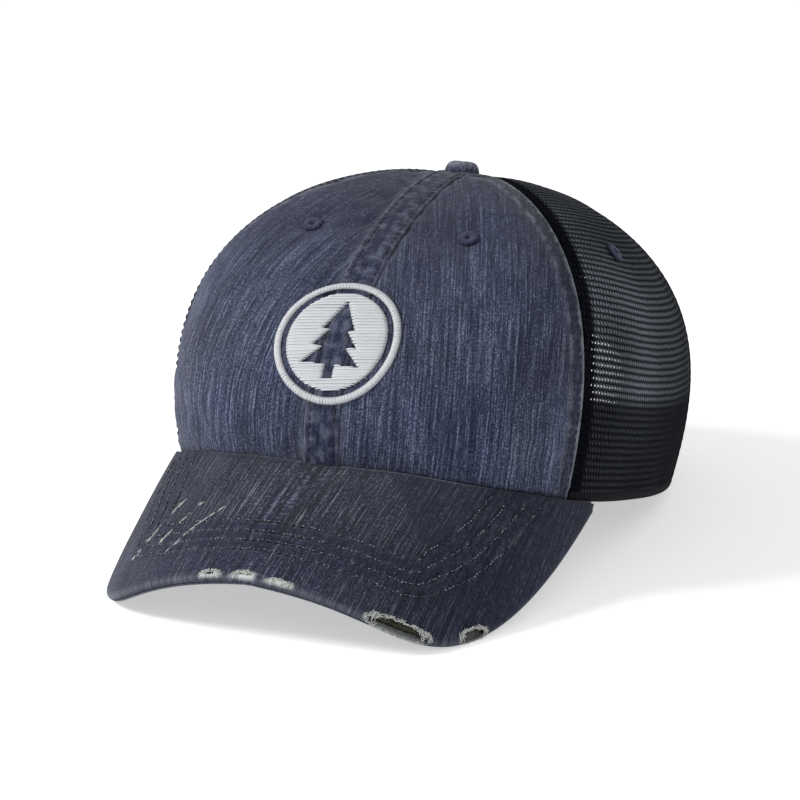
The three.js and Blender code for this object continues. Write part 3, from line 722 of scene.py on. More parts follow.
def front_panel(side, sign, columns=76, rows=128):
    panel = Panel(0.0, FRONT_SEAM)
    u, v = np.meshgrid(np.linspace(0, 1, columns)[::sign], np.linspace(0, 1, rows))
    y = v * panel.length
    half = panel.half_width(y)
    inner_edge, outer_edge = u * 2 * half, (1 - u) * 2 * half
    x = np.clip((2 * u - 1) * half, SEAM_GAP - half, np.maximum(half - SEAM_GAP, SEAM_GAP + 0.05 - half))
    arc, climb = panel.place(x, y)
    pull = np.clip(np.minimum(inner_edge / 14, np.minimum(outer_edge / 10, y / 12)), 0, 1)
    lift = front_folds(sign, x, y, climb, outer_edge, pull)
    eye_arc, eye_height = EYELETS["front"]
    hole = on_crown(sign * eye_arc, climb_at_height(eye_arc, eye_height))
    lift = lift + settled(sign * arc, climb, lift, hole) * np.clip(pull + 0.2, 0, 1)
    outer, inner = off_crown(sign * arc, climb, lift), off_crown(sign * arc, climb, lift - DENIM_THICK)
    keep = np.linalg.norm((outer[:-1, :-1] + outer[1:, 1:]) / 2 - hole, axis=-1) > EYELET_CUT
    layers = front_layers(sign, x, y, climb, inner_edge, outer_edge)
    name = f"front_panel_{side}"
    sheet(f"{name}_denim", outer, inner, M_FRONT, layers, [name], keep)
    # two rows of topstitching beside the mesh
    threads = Threads()
    for inset in PANEL_ROWS:
        ys = np.arange(3.0, panel.length - 6, 0.25)
        ys = ys[2 * panel.half_width(ys) > inset + 6]
        arc, climb = panel.place(panel.half_width(ys) - inset, ys)
        sew(threads, sign * arc, climb, 0.52, PANEL_STITCH)
    threads.build(f"front_seam_stitches_{side}", M_NAVY, "indigo")


for side, sign in SIDES:
    front_panel(side, sign)

# ---- mesh panels ----


def outside_arch(arc, climb, margin=0.6):
    """True outside the rear arch opening."""
    across = (HALF_RIM - np.abs(wrap(arc))) / (ARCH_HALF + margin)
    over = np.maximum(0, climb) / (ARCH_HEIGHT + margin)
    return np.abs(across) ** ARCH_SQUARENESS + over**ARCH_SQUARENESS > 1


def yarn_highlight(x, y, edge):
    """How strongly the proud yarns are painted pale as highlight: more above the sweatband and away from the
    seam tapes, less towards the back.
    """
    rising = 0.2 + 0.8 * np.clip((y - BAND_HIGH) / 6, 0, 1) - 0.45 * np.clip((y - 75) / 50, 0, 1)
    taped = 0.04 + 0.96 * smoothstep(edge, 5.0, 8.5)
    return rising * taped * (1 - 0.7 * smoothstep(x, -20, 45)) * (0.85 + 0.2 * soft(x, y, 0.0))


def net_cells(panel):
    """Foot, head and height of each whole opening's middle line, in rows that lean in turn."""
    count = int(2 * (float(panel.half_widths.max()) + 2) / NET_ACROSS) + 3
    column, row = np.meshgrid(np.arange(count), np.arange(int(panel.length / NET_UP)))
    odd = row % 2
    x_low = (column - count / 2 + 0.75 * odd) * NET_ACROSS
    x_high = x_low + (1 - 2 * odd) * NET_ACROSS / 4
    y_low = 0.25 + row * NET_UP
    x, y = (x_low + x_high) / 2, y_low + NET_UP / 2
    inside = (np.abs(x) < panel.half_width(y) - 0.5) & (y < panel.length - 1)
    inside &= outside_arch(*panel.place(x, y))
    return [values[inside][:, None] for values in (x_low, x_high, y_low)]


def net_layers():
    """Eight places round a cell, as (across, share of its height), and how far each ring stands out."""
    ring = np.array([0, 1, 1, 1, 0, -1, -1, -1]) * NET_ACROSS / 2, np.array([1, 1, 0.5, 0, 0, 0, 0.5, 1])
    open_x = np.array([0, 0.74, 1, 0.74, 0, -0.74, -1, -0.74]) * (NET_ACROSS - NET_SIDE_YARN) / 2
    open_v = 0.5 + np.array([1, 0.78, 0, -0.78, -1, -0.78, 0, 0.78]) * (NET_UP - NET_ROW_YARN) / (2 * NET_UP)
    middle = ring[0] * 0.45 + open_x * 0.55, ring[1] * 0.45 + open_v * 0.55
    return (*ring, 1.0), (*middle, 0.75), (open_x, open_v, 0.0), (*ring, -1.0)


def net_faces(cells, layers, sides=8):
    """Quads that join each layer of each cell to the next."""
    first = (np.arange(cells) * sides * layers)[:, None]
    k, after = np.arange(sides), (np.arange(sides) + 1) % sides
    levels = [(first + sides * level, first + sides * (level + 1)) for level in range(layers - 1)]
    joined = [np.stack([low + k, high + k, high + after, low + after], -1) for low, high in levels]
    return np.concatenate([quads.reshape(-1, 4) for quads in joined])


def net_panel(name, start, end, sign, seed):
    """Knitted mesh of rounded yarns between its openings."""
    panel = Panel(start, end)
    x_low, x_high, y_low = net_cells(panel)
    wobble, slack, slip = Waves(seed, 30), Waves(seed + 20, 14, dims=2), Waves(seed + 40, 5, dims=2)
    points, grain, wear = [], [], []
    for px, pv, level in net_layers():
        x, y = x_low * (1 - pv) + x_high * pv + px, y_low + NET_UP * pv
        x, y = (
            x + 0.25 * slack(x, y) + 0.12 * slip(x, y),
            y + 0.07 * slack(y + 90, x) + 0.06 * slip(y + 50, x),
        )
        limit = panel.half_width(y) - SEAM_GAP
        x = np.clip(x, -limit, limit)
        edge = limit - np.abs(x)
        arc, climb = panel.place(x, np.clip(y, 0.25, panel.length))
        lift = 0.22 * wobble(x, y, 0.0) * np.clip(edge / 15, 0, 1)
        points.append(off_crown(sign * arc, climb, -0.5 + NET_DEPTH * level + lift))
        grain.append(np.stack([x + 300 * seed, y, np.full_like(x, level)], -1))
        # painted highlight: the front of each side yarn, mid-way up, gets the pale mark through the wear
        # layer
        wear.append(np.sin(math.pi * pv) ** 2 * (level > 0.5) * (np.abs(px) > 0.3) * yarn_highlight(x, y, edge))
    faces = net_faces(len(x_low), len(points))
    points, grain = (np.stack(values, 1).reshape(-1, 3) for values in (points, grain))
    # cells squeezed against a seam fold flat: leave out what has no area
    quad = points[faces]
    area = np.linalg.norm(np.cross(quad[:, 2] - quad[:, 0], quad[:, 3] - quad[:, 1]), axis=1)
    first, number = weld(points, 0.02)
    layers = {"grain": grain[first], "wear": np.stack(wear, 1).reshape(-1)[first]}
    faces = number[faces[area > 1e-3][:, ::sign]]
    build(f"{name}_mesh", points[first], [faces], M_NET, layers, [name])


for side, sign in SIDES:
    net_panel(f"side_panel_{side}", FRONT_SEAM, REAR_SEAM, sign, 2 + sign)
    net_panel(f"back_panel_{side}", REAR_SEAM, HALF_RIM, sign, 6 + sign)

# ---- ribbons: seam strip, tapes and felled mesh seams ----


def ribbon(name, arc, width, ends, offset, thick, material, columns, shape, makers=None, nodes=()):
    """Sheet along a meridian; shape(x, y) lifts it, and makers turn x and y into layers."""
    low, high = ends
    rows = int((high - low) / 1.6) + 2
    x, y = np.meshgrid(np.linspace(-0.5, 0.5, columns) * width, np.linspace(low, high, rows))
    place = beside(np.full_like(y, arc), y, x)
    lift = offset + shape(x, y)
    layers = {key: make(x, y) for key, make in (makers or {}).items()}
    layers["grain"] = np.stack([x + 700 + arc, y, 0 * x], -1)
    outer, inner = off_crown(*place, lift), off_crown(*place, lift - thick)
    return sheet(name, outer, inner, material, layers, nodes)


def sew_along(threads, arc, aside, ys, offset, stitch, sink=SINK):
    """Stitches beside a meridian."""
    sew(threads, *beside(np.full_like(ys, arc), ys, np.full_like(ys, aside)), offset, stitch, sink)


def strip_lift(x, y):
    edge = STRIP_WIDTH / 2 - np.abs(x)
    hump = 0.35 * (1 - np.exp(-edge / 0.8))
    groove = -0.3 * bump(edge - STRIP_ROW, 0.5) - 0.22 * bump(x, 0.5)
    pucker = 0.24 * np.sin(2 * math.pi * y / 5.2 + 3.5 * tiny(x * 0.4, y))
    return hump + groove + pucker * (0.5 + 0.5 * bump(edge - 1.2, 1.6))


def strip_wear(x, y):
    blotches = np.clip(0.1 + 1.2 * tiny(x * 1.4 + 9, y * 1.6), 0, 1)
    return 0.35 * blotches + 0.35 * bump(STRIP_WIDTH / 2 - np.abs(x), 0.5)


def strip_deep(x, y):
    creases = 0.9 * bump(STRIP_WIDTH / 2 - np.abs(x) - 2.0, 1.1) + 0.5 * bump(x, 0.6)
    # painted shade: the last term darkens the strip towards the crown's top, where the lamps light most
    return creases + 0.34 + 0.35 * smoothstep(y, 50, 105)


def front_strip():
    top = float(climb_at_radius(0.0, 4.5))
    layers = {"wear": strip_wear, "deep": strip_deep}
    ribbon(
        "front_seam_strip", 0.0, STRIP_WIDTH, (0.8, top), STRIP_OUT, STRIP_SHEET, M_STRIP, 22,
        strip_lift, layers, ["front_center_strip"],
    )
    threads = Threads()
    for aside in (STRIP_ROW - STRIP_WIDTH / 2, STRIP_WIDTH / 2 - STRIP_ROW):
        sew_along(threads, 0.0, aside, np.arange(2.0, top - 5, 0.5), 1.2, STRIP_STITCH)
    threads.build("front_strip_stitches", M_NAVY, "indigo")


def tape_shape(x, y):
    return 0.06 * np.sin(y * 1.4) - 0.12 * bump(np.abs(x) - TAPE_ROW, 0.6)


def seam_tapes():
    """Woven tape inside every crown seam, with two rows of stitches."""
    tapes = {"front_center": (0.0, 2.0, 7.5), "back_center": (HALF_RIM, ARCH_HEIGHT + 8.5, 7.5)}
    for side, sign in SIDES:
        tapes[f"front_{side}"] = (sign * FRONT_SEAM, 2.0, 15.0)
        tapes[f"rear_{side}"] = (sign * REAR_SEAM, 2.0, 15.0)
    threads = Threads()
    for key, (arc, low, radius) in tapes.items():
        high = float(climb_at_radius(arc, radius))
        ribbon(
            f"seam_tape_{key}_weave", arc, TAPE_WIDTH, (low, high), TAPE_OUT, TAPE_OUT - TAPE_IN, M_TAPE,
            10, tape_shape, nodes=[f"seam_tape_{key}"],
        )
        for aside in (-TAPE_ROW, TAPE_ROW):
            ys = np.arange(low + 2, high - 2, 0.6)
            sew_along(threads, arc, aside, ys, TAPE_IN - 0.1, TAPE_STITCH, -SINK)
    threads.build("seam_tape_stitches", M_NAVY, "indigo")


def seam_edge(name, arc, low, width=3.4):
    """Felled seam of the mesh: a narrow turned edge outside."""
    ends = (low, float(climb_at_radius(arc, 5.5)))

    def shape(x, y):
        return 0.25 * bump(x, width * 0.3) + 0.06 * np.sin(y * 2.2) - 0.2 * bump(x, 0.4)

    ribbon(name, arc, width, ends, 0.25, 0.35, M_TAPE, 8, shape)


front_strip()
seam_tapes()
for side, sign in SIDES:
    seam_edge(f"rear_seam_edge_{side}", sign * REAR_SEAM, 0.6)
seam_edge("back_center_seam_edge", HALF_RIM, ARCH_HEIGHT + 0.5)

# ---- mesh hem, sweatband and arch binding ----

# the turned hem's section, as (climb, lift)
HEM_PROFILE = (
    (3.4, -0.2), (3.0, 0.12), (1.6, 0.2), (0.5, 0.12), (0.1, -0.3), (0.1, -0.9), (0.6, -1.25), (3.2, -1.2),
)
# the binding's section: a tape folded over the mesh edge, as (reach past the edge, lift)
BINDING_PROFILE = (
    (-7.0, 0.35), (-7.0, 0.75), (-6.2, 0.92), (-3.0, 0.85), (-0.4, 0.9), (0.5, 0.75), (0.93, 0.2),
    (0.95, -0.6), (0.93, -1.4), (0.5, -1.85), (-0.4, -2.0), (-6.2, -2.0), (-7.0, -1.85), (-7.0, -1.5),
    (0.2, -1.45), (0.32, -0.55), (0.2, 0.35),
)


def mesh_hem(side, sign, rings=260):
    """Turned hem along the foot of the mesh."""
    arcs = np.linspace(FRONT_SEAM + 0.6, HALF_RIM - ARCH_HALF - 6.5, rings)[::-sign]
    climbs, heights = np.array(HEM_PROFILE).T
    arc, climb = np.meshgrid(arcs, climbs, indexing="ij")
    height = heights + 0.08 * np.sin(arc * 2 * math.pi / 2.8) * (heights > -0.1)
    points = off_crown(sign * arc, climb, height).reshape(-1, 3)
    grain = np.stack([arc, climb + height, 0 * arc], -1).reshape(-1, 3)
    build(f"mesh_hem_{side}", points, tube_faces(*arc.shape), M_TAPE, {"grain": grain})


def sweatband(columns=400, rows=22):
    end = HALF_RIM - ARCH_HALF - 1.5
    u, v = np.meshgrid(np.linspace(-1, 1, columns), np.linspace(0, 1, rows))
    arc, climb = u * end, BAND_LOW + (BAND_HIGH - BAND_LOW) * v
    lift = 0.25 * soft(arc * 0.8, climb, 0.0) + 0.2 * np.sin(v * math.pi)
    outer, inner = off_crown(arc, climb, BAND_OUT + lift), off_crown(arc, climb, BAND_IN + lift)
    layers = {"grain": np.stack([arc, climb, 0 * arc], -1)}
    sheet("sweatband_weave", outer, inner, M_BAND, layers, ["sweatband"])
    threads = Threads()
    for height in (BAND_LOW + BAND_ROW, BAND_HIGH - BAND_ROW):
        arcs = np.arange(2 - end, end - 2, 0.7)
        offset = BAND_IN - 0.07 + 0.25 * soft(arcs * 0.8, height, 0.0)
        stitch_row(threads, off_crown(arcs, height, offset), -normal_at(arcs, height), BAND_STITCH)
    threads.build("sweatband_stitches", M_NAVY, "indigo")


def arch_line(angle, reach, lowest):
    """Places round the rear arch, from its right foot over to its left, reach inside its edge."""
    power = 2 / ARCH_SQUARENESS
    across = (ARCH_HALF - reach) * np.sign(np.cos(angle)) * np.abs(np.cos(angle)) ** power
    return HALF_RIM - across, np.maximum(lowest, (ARCH_HEIGHT - reach) * np.abs(np.sin(angle)) ** power)


def arch_binding(rings=150):
    reach, offset = (values[None] for values in np.array(BINDING_PROFILE).T)
    arc, climb = arch_line(np.linspace(0, math.pi, rings)[:, None], reach, 0.6)
    pucker = 0.1 * np.sin(np.linspace(0, 46 * math.pi, rings))[:, None] * (offset > 0.6)
    along = cumulative(on_crown(arc[:, 3], climb[:, 3]))
    around = cumulative(np.array(BINDING_PROFILE))
    grain = np.stack(np.broadcast_arrays(along[:, None], around[None], 0.0), -1).reshape(-1, 3)
    points = off_crown(arc, climb, offset + pucker).reshape(-1, 3)
    faces = tube_faces(rings, around.size)
    build("rear_arch_binding_tape", points, faces, M_BIND, {"grain": grain}, ["rear_arch_binding"])
    threads = Threads()
    for reach in BINDING_ROWS:
        places = arch_line(np.linspace(0.03, math.pi - 0.03, 500), reach, 0.8)
        sew(threads, *places, 0.98, BINDING_STITCH)
    threads.build("arch_binding_stitches", M_NAVY, "indigo")


for side, sign in SIDES:
    mesh_hem(side, sign)
sweatband()
arch_binding()

# ---- bill ----

# Worn places on the outer edge: place along the edge from its middle, half length and depth of the fray,
# then half length, half depth and inset of the tear in it.
WORN = (
    (-14.0, 4.1, 2.2, 2.4, 0.55, 1.0),
    (-1.3, 4.3, 2.1, 2.6, 0.5, 0.8),
    (11.8, 4.8, 1.5, 0.0, 0.0, 0.0),
    (54.0, 11.2, 3.2, 10.2, 2.9, 0.0),
    (83.5, 6.2, 2.7, 5.2, 2.4, -0.2),
)
LONG_TEAR = 5.0
# loose threads per millimetre of a worn place's half length: round a long tear, and elsewhere
TEAR_COTTON, FRAY_COTTON = 24, 14
# Pulled threads on the wearer's right of the top cover, each through places (share across, share out)
PULLS = (
    ((-0.335, 0.38), (-0.435, 0.67), (-0.505, 0.81)),
    ((-0.24, 0.42), (-0.31, 0.6), (-0.38, 0.79)),
    ((-0.15, 0.47), (-0.225, 0.64), (-0.3, 0.82)),
)


def bill_reach(s):
    corners = np.maximum(0, 1 - np.abs(s) ** BILL_CORNER) ** (1 / BILL_ROOT)
    return BILL_LENGTH * (1 + BILL_SIDE_GAIN * s * s) * corners


def bill_at(s, w):
    """Bill's middle surface: share s across it and share w out from the crown."""
    s, w = np.broadcast_arrays(np.asarray(s, float), np.asarray(w, float))
    yaw = np.radians(BILL_YAW[0] * s + BILL_YAW[1] * s**3)
    drop = np.radians(BILL_DROP[0] + (BILL_DROP[1] - BILL_DROP[0]) * np.abs(s) ** BILL_DROP_POWER)
    run = np.stack([np.sin(yaw) * np.cos(drop), -np.cos(yaw) * np.cos(drop), -np.sin(drop)], -1)
    reach = bill_reach(s)
    point = crown(s * BILL_END, np.zeros_like(s)) + run * (BILL_GAP + (reach - BILL_GAP) * w)[..., None]
    point[..., 2] += BILL_CAMBER * 4 * w * (1 - w) * reach / BILL_LENGTH
    return point


def off_bill(s, w, height, reach=0.0, near=1e-3):
    """Points above the bill's middle surface and beyond it outward, and the upward directions there."""
    across = bill_at(s + near, w) - bill_at(s - near, w)
    up = unit(np.cross(bill_at(s, w + near) - bill_at(s, w - near), across))
    beyond = -unit(np.cross(up, across))
    return bill_at(s, w) + up * np.asarray(height)[..., None] + beyond * np.asarray(reach)[..., None], up


EDGE_SHARES = np.linspace(-0.9849, 0.9849, 900)
EDGE = bill_at(EDGE_SHARES, 1.0)
EDGE_ALONG = cumulative(EDGE)
EDGE_ALONG -= np.interp(0, EDGE_SHARES, EDGE_ALONG)


def from_edge(points, parts=60):
    """Inset from the bill's outer edge, and place along that edge from its middle."""
    found = []
    for part in np.array_split(points.reshape(-1, 3), parts):
        apart = np.linalg.norm(part[:, None] - EDGE[None], axis=-1)
        found.append((apart.min(1), EDGE_ALONG[apart.argmin(1)]))
    return [np.concatenate(values).reshape(points.shape[:-1]) for values in zip(*found)]


def row_inset(inset, along):
    """The stitch rows run parallel to the front edge and draw away from the side edges."""
    return inset - 10.5 * smoothstep(-along, 35, 110) - 4.6 * smoothstep(along, 45, 85)


def worn_places(along, inset, noise):
    """How frayed and how torn the cloth is at a place given by its length along and inset from the edge."""
    fray, torn = np.zeros_like(along), np.zeros_like(along)
    for middle, half, depth, tear_half, tear_depth, tear_inset in WORN:
        oval = np.hypot((along - middle) / half, (inset + 0.3) / depth) + 0.1 * noise
        below = 1 - smoothstep(-inset, 0.1, 1.2) * (0.75 if tear_half > LONG_TEAR else 1.0)
        fray = np.maximum(fray, (1 - np.clip((oval - 0.9) * depth / 0.45, 0, 1)) * below)
        if tear_half:
            tear = np.hypot((along - middle) / tear_half, (inset - tear_inset) / tear_depth) + 0.12 * noise
            torn = np.maximum(torn, (tear < 0.98) * 1.0)
    return fray, torn


def flecks(threads, line, normals, amount, pitch=1.45):
    """Worn bits of thread showing pale along a row of stitches."""
    length = cumulative(line)
    for start in np.arange(1.0, length[-1] - 3, pitch):
        if rng.uniform() > amount:
            continue
        begin = start + rng.uniform(-0.35, 0.35)
        at = np.linspace(begin, begin + rng.uniform(0.2, 0.65), 4)
        normal = between(at, length, normals)
        path = between(at, length, line) + normal * np.array([0.02, 0.2, 0.2, 0.02])[:, None]
        path = path + np.cross(normal, np.gradient(path, axis=0)) * rng.normal(0, 1.2)
        threads.add(path, normal, rng.uniform(0.1, 0.22), flat=0.8, taper=0.5)


def cover_grid(side, columns=300, rows=95, turns=6, crowding=1.3):
    """Shares across and out of a cover's grid, and how far it has turned over the rim."""
    spread = np.sin(np.linspace(-1, 1, columns) * crowding) / math.sin(crowding) * BILL_SHARE
    out = np.concatenate([[-0.02], np.linspace(0, 1, rows), np.ones(turns)])
    turn = np.concatenate([np.zeros(rows + 1), np.arange(1, turns + 1) / turns])
    s, w = np.meshgrid(spread[::side], out[::-1])
    return s, w, np.broadcast_to(turn[::-1, None], s.shape)


def stitch_waves(x, y, rows_at):
    """Puckers beside each stitch row."""
    sway = 2.2 * tiny(x, y)
    rows = enumerate(STITCH_INSETS)
    return sum(bump(rows_at - d, 2.2) * np.sin(2 * math.pi * x / 3.1 + 1.9 * i + sway) for i, d in rows)


def cover_wear(turn, inset, along, rows_at, waves):
    """Pale wear on the rim and on the puckers between the rows."""
    rim = 0.25 * bump(turn - 0.45, 0.3) * (turn > 0) + 0.12 * bump(inset, 1.0)
    rim = rim * (1 - 0.6 * smoothstep(along, 20, 70)) + 0.5 * bump(inset, 1.2) * smoothstep(-along, 50, 90)
    return rim + 0.3 * np.clip(waves - 0.35, 0, 1) * (np.abs(rows_at - 20) < 10)


def cover_deep(turn, along, rows_at, out):
    """Unfaded dye between the stitch rows, at the root and along the front edge; painted shade on the
    turned-under rim; darker towards the wearer's left, partly dye and partly painted shade.
    """
    deep = falling(np.abs(rows_at - 20.1), 8.6, 1.1) + 0.7 * bump(out - 0.6, 1.2)
    # painted shade: the turned-under rim is darkened so the lip looks thinner
    deep = deep + 0.5 * bump(turn - 1.0, 0.3)
    # the last term: darker towards the wearer's left, partly dye and partly painted shade on the side the
    # lamps light less
    return deep + 0.4 * smoothstep(-rows_at, -14, -9) + 0.8 * smoothstep(along, 45, 95)


def stitch_rows(side, height, levels=80):
    """Points and outward directions along each stitch row of a cover."""
    level = np.arange(levels)
    s, w = np.meshgrid(np.linspace(-0.97, 0.97, 1400)[::4], level / level[-1])
    place, up = off_bill(s, w, side * height)
    depth = row_inset(*from_edge(bill_at(s, w)))
    for d in STITCH_INSETS:
        row = []
        for k, column in enumerate(depth.T):
            if column[0] > d > column[-1]:
                at = np.interp(-d, -column, level)
                row.append(np.concatenate([between([at], level, place[:, k])[0], up[int(at), k] * side]))
        yield np.split(np.array(row), 2, axis=1)


def bill_cover(name, side):
    s, w, turn = cover_grid(side)
    flat, _ = off_bill(s, w, 0 * s)
    x, y, z = np.moveaxis(flat, -1, 0)
    inset, along = from_edge(flat)
    rows_at = row_inset(inset, along)
    waves = stitch_waves(x, y, rows_at)
    relief = 0.14 * waves - 0.3 * sum(bump(rows_at - d, 0.7) for d in STITCH_INSETS) + 0.25 * soft(x, y, z)
    fray, torn = worn_places(along, inset - COVER_LIP * turn, fuzz(along, inset))
    near = BOARD_HALF + COVER_GAP
    ahead, down = np.sin(turn * math.pi / 2), np.cos(turn * math.pi / 2)
    tuck = 0.2 * ahead
    height = (COVER_FACE + relief * (1 - turn)) * down + tuck
    outer, _ = off_bill(s, w, side * height, COVER_LIP * ahead)
    thin = COVER_THICK * (1 - 0.45 * fray)
    inner, _ = off_bill(s, w, side * (near * down + tuck), (COVER_LIP - thin) * ahead)
    torn = torn[:-1, :-1] + torn[1:, 1:] + torn[:-1, 1:] + torn[1:, :-1] >= 2
    keep = ~(torn & (turn[:-1, 1:] < 0.75) & (side > 0))
    layers = {
        "grain": np.stack([s * 118, -y, np.full_like(s, 3.0 * side)], -1),
        "wear": cover_wear(turn, inset, along, rows_at, waves),
        "deep": cover_deep(turn, along, rows_at, w * bill_reach(s)),
        "fray": np.clip(fray, 0, 1) * (1.0 if side > 0 else 0.45),
    }
    sheet(f"{name}_denim", outer, inner, M_BILL, layers, [f"{name}_cover"], keep)
    threads, pale = Threads(5), Threads(5)
    for line, normals in stitch_rows(side, COVER_FACE - 0.12):
        stitch_row(threads, line, normals, BILL_STITCH, 0.7)
        flecks(pale, line, normals, 0.62 if side > 0 else 0.3)
    threads.build(f"{name}_denim_stitches", M_NAVY, "indigo")
    pale.build(f"{name}_denim_worn_stitches", M_WORN, "thread")


def bill_cord():
    """Corded seam where the bill meets the crown."""
    s = np.linspace(-0.99, 0.99, 260)
    threads = Threads(8)
    line = crown(s * BILL_END, 0 * s) - (0, 0, 0.55)
    threads.add(line, np.repeat([[0.0, 0.0, 1.0]], s.size, 0), 0.95, taper=0.6)
    threads.build("bill_seam_cord", M_NAVY, "indigo")


def fray_place(threads, middle, half, depth, big):
    """Loose cotton in and round one worn place."""
    count = int((TEAR_COTTON if big else FRAY_COTTON) * half)
    ring = rng.uniform(0, 2 * math.pi, count)
    spread = rng.uniform(0.72, 1.08, count) if big else np.sqrt(rng.uniform(0.05, 1.1, count))
    inset = np.clip(depth * np.sin(ring) * spread, -COVER_LIP if big else -0.5, None)
    s = np.interp(middle + half * np.cos(ring) * spread, EDGE_ALONG, EDGE_SHARES)
    base, up = off_bill(s, 1.0, 0.0)
    out = off_bill(s, 1.0, 0.0, 1.0)[0] - base
    aside = np.cross(up, out)
    steps = np.linspace(-0.5, 0.5, 6)[:, None]
    for k in range(count):
        down = max(0.0, -inset[k]) / COVER_LIP
        inward = inset[k] if inset[k] > 0 else -COVER_LIP * math.sin(down * 1.57)
        centre = base[k] + up[k] * ((COVER_FACE + 0.05) * (1 - down) + 0.1) - out[k] * inward
        heading = ring[k] + math.pi / 2 + rng.normal(0, 0.6)
        direction = aside[k] * math.cos(heading) - out[k] * math.sin(heading)
        length = rng.uniform(0.7, 2.2)
        curl = rng.normal(0, 0.3, 3)
        curve = (steps**2 - 0.1) * curl * length
        path = centre + direction * steps * length + curve + up[k] * rng.uniform(-0.1, 0.2)
        threads.add(path, np.repeat(up[k][None], steps.size, 0), rng.uniform(0.08, 0.16), taper=0.2)


def pulled_threads(threads, number, route, count=64):
    """Short pale threads along a route; the first two routes are broken and spread wider."""
    ways, broken = np.linspace(0, 1, len(route)), number < 2
    across, out = np.array(route).T
    steps = np.linspace(0, 1, 6)
    for _ in range(count):
        at = rng.uniform(0, 1)
        if broken and math.sin(at * 17 + number * 2) < -0.35:
            continue
        t = np.clip(at + steps * rng.uniform(0.03, 0.08), 0, 1.0)
        s = np.interp(t, ways, across) + rng.normal(0, 0.0035 if broken else 0.0018)
        lift = 0.07 + 0.14 * np.sin(steps * math.pi)
        path, up = off_bill(s, np.interp(t, ways, out), COVER_FACE + lift)
        path = path + rng.normal(0, 0.12, 3)
        threads.add(path, up, rng.uniform(0.1, 0.2), flat=0.7, taper=0.2)


bill_cover("bill_top", 1)
bill_cover("bill_under", -1)
bill_cord()
cotton = Threads(5)
for middle, half, depth, tear_half, *_ in WORN:
    fray_place(cotton, middle, half, depth, tear_half > LONG_TEAR)
for number, route in enumerate(PULLS):
    pulled_threads(cotton, number, route)
cotton.build("bill_frayed_cotton", M_FRAY, "thread")

# ---- emblem: a ring round a plain evergreen tree, in satin stitch ----

# the tree's tiers: base, tip and half width
TIERS = ((-9.5, 1.5, 11.0), (-3.0, 8.0, 8.6), (3.6, 15.0, 6.2))
DISC_RADIUS, RING_INNER, RING_OUTER, ROW_SLOPE = 18.6, 20.9, 23.4, 0.12


def in_fill(x, y):
    """Inside the disc and outside the tree: three stacked triangles over a short trunk."""
    tree = (np.abs(x) < 1.9) & (y > -14.5) & (y < -8)
    for base, tip, half in TIERS:
        tree |= (y > base) & (y < tip) & (np.abs(x) < half * (tip - y) / (tip - base))
    return (np.hypot(x, y) < DISC_RADIUS) & ~tree


def satin(threads, start, end, arching, sunk):
    """One long stitch between two places on the emblem, arching off the cloth."""
    count = max(5, int(math.dist(start, end) / 1.2) + 2)
    t = np.linspace(0, 1, count)
    lift = 1.3 - sunk + arching * np.sqrt(np.clip(1 - (2 * t - 1) ** 6, 0, 1)) + rng.normal(0, 0.03)
    x, y = (a + (b - a) * t for a, b in zip(start, end))
    place = beside(np.zeros(count), EMBLEM_CLIMB + y, x)
    radius = NEEDLE * rng.uniform(0.52, 0.6)
    threads.add(off_crown(*place, lift), normal_at(*place), radius, flat=0.8, taper=0.8)


def emblem():
    threads = Threads()
    xs = np.arange(-19, 19.01, 0.1)
    for number, y in enumerate(np.arange(-18.4, 18.5, NEEDLE)):
        inside = np.concatenate([[0], in_fill(xs, y + ROW_SLOPE * xs), [0]]).astype(int)
        change = np.nonzero(np.diff(inside))[0]
        for first, last in zip(change[::2], change[1::2]):
            if last - first > 7:
                ends = [x + rng.uniform(-0.1, 0.1) for x in (xs[first] - 0.2, xs[last - 1] + 0.2)]
                satin(threads, *((x, y + ROW_SLOPE * x) for x in ends), 0.45, 0.22 * (number % 2))
    for number, angle in enumerate(np.arange(0, 2 * math.pi, NEEDLE / 22.2)):
        ray = np.array([math.cos(angle), math.sin(angle)])
        satin(threads, RING_INNER * ray, RING_OUTER * ray, 0.6, 0.15 * (number % 2))
    threads.build("emblem_satin", M_PALE, "thread", ["emblem_patch"])


# an eyelet stitch's path, as reach from the middle of the hole and rise off the cloth
EYELET_PATH = np.array(((0.8, -0.9), (1.0, 0.3), (1.9, 0.8), (2.9, 0.85), (3.5, 0.55), (3.9, 0.25)))


def eyelet(name, side, arc, height, stitches=40):
    """Overcast ring of thread round a hole."""
    climb = climb_at_height(arc, height)
    centre, out, across = on_crown(arc, climb), normal_at(arc, climb), tangent(arc, climb)
    upward = np.cross(out, across)
    threads = Threads()
    for k in range(stitches):
        angle = 2 * math.pi * k / stitches + rng.normal(0, 0.02)
        ray = across * math.cos(angle) + upward * math.sin(angle)
        reach = EYELET_PATH[:, :1] + rng.normal(0, 0.16)
        path = centre + ray * reach + out * EYELET_PATH[:, 1:]
        threads.add(path, np.repeat(out[None], len(path), 0), NEEDLE / 2, flat=0.9, taper=0.6)
    threads.build(f"eyelet_{name}_{side}_satin", M_EYELET, "indigo", [f"eyelet_{name}_{side}"])


emblem()
for name, (arc, height) in EYELETS.items():
    for side, sign in SIDES:
        eyelet(name, side, sign * arc, height)

# ---- top button ----


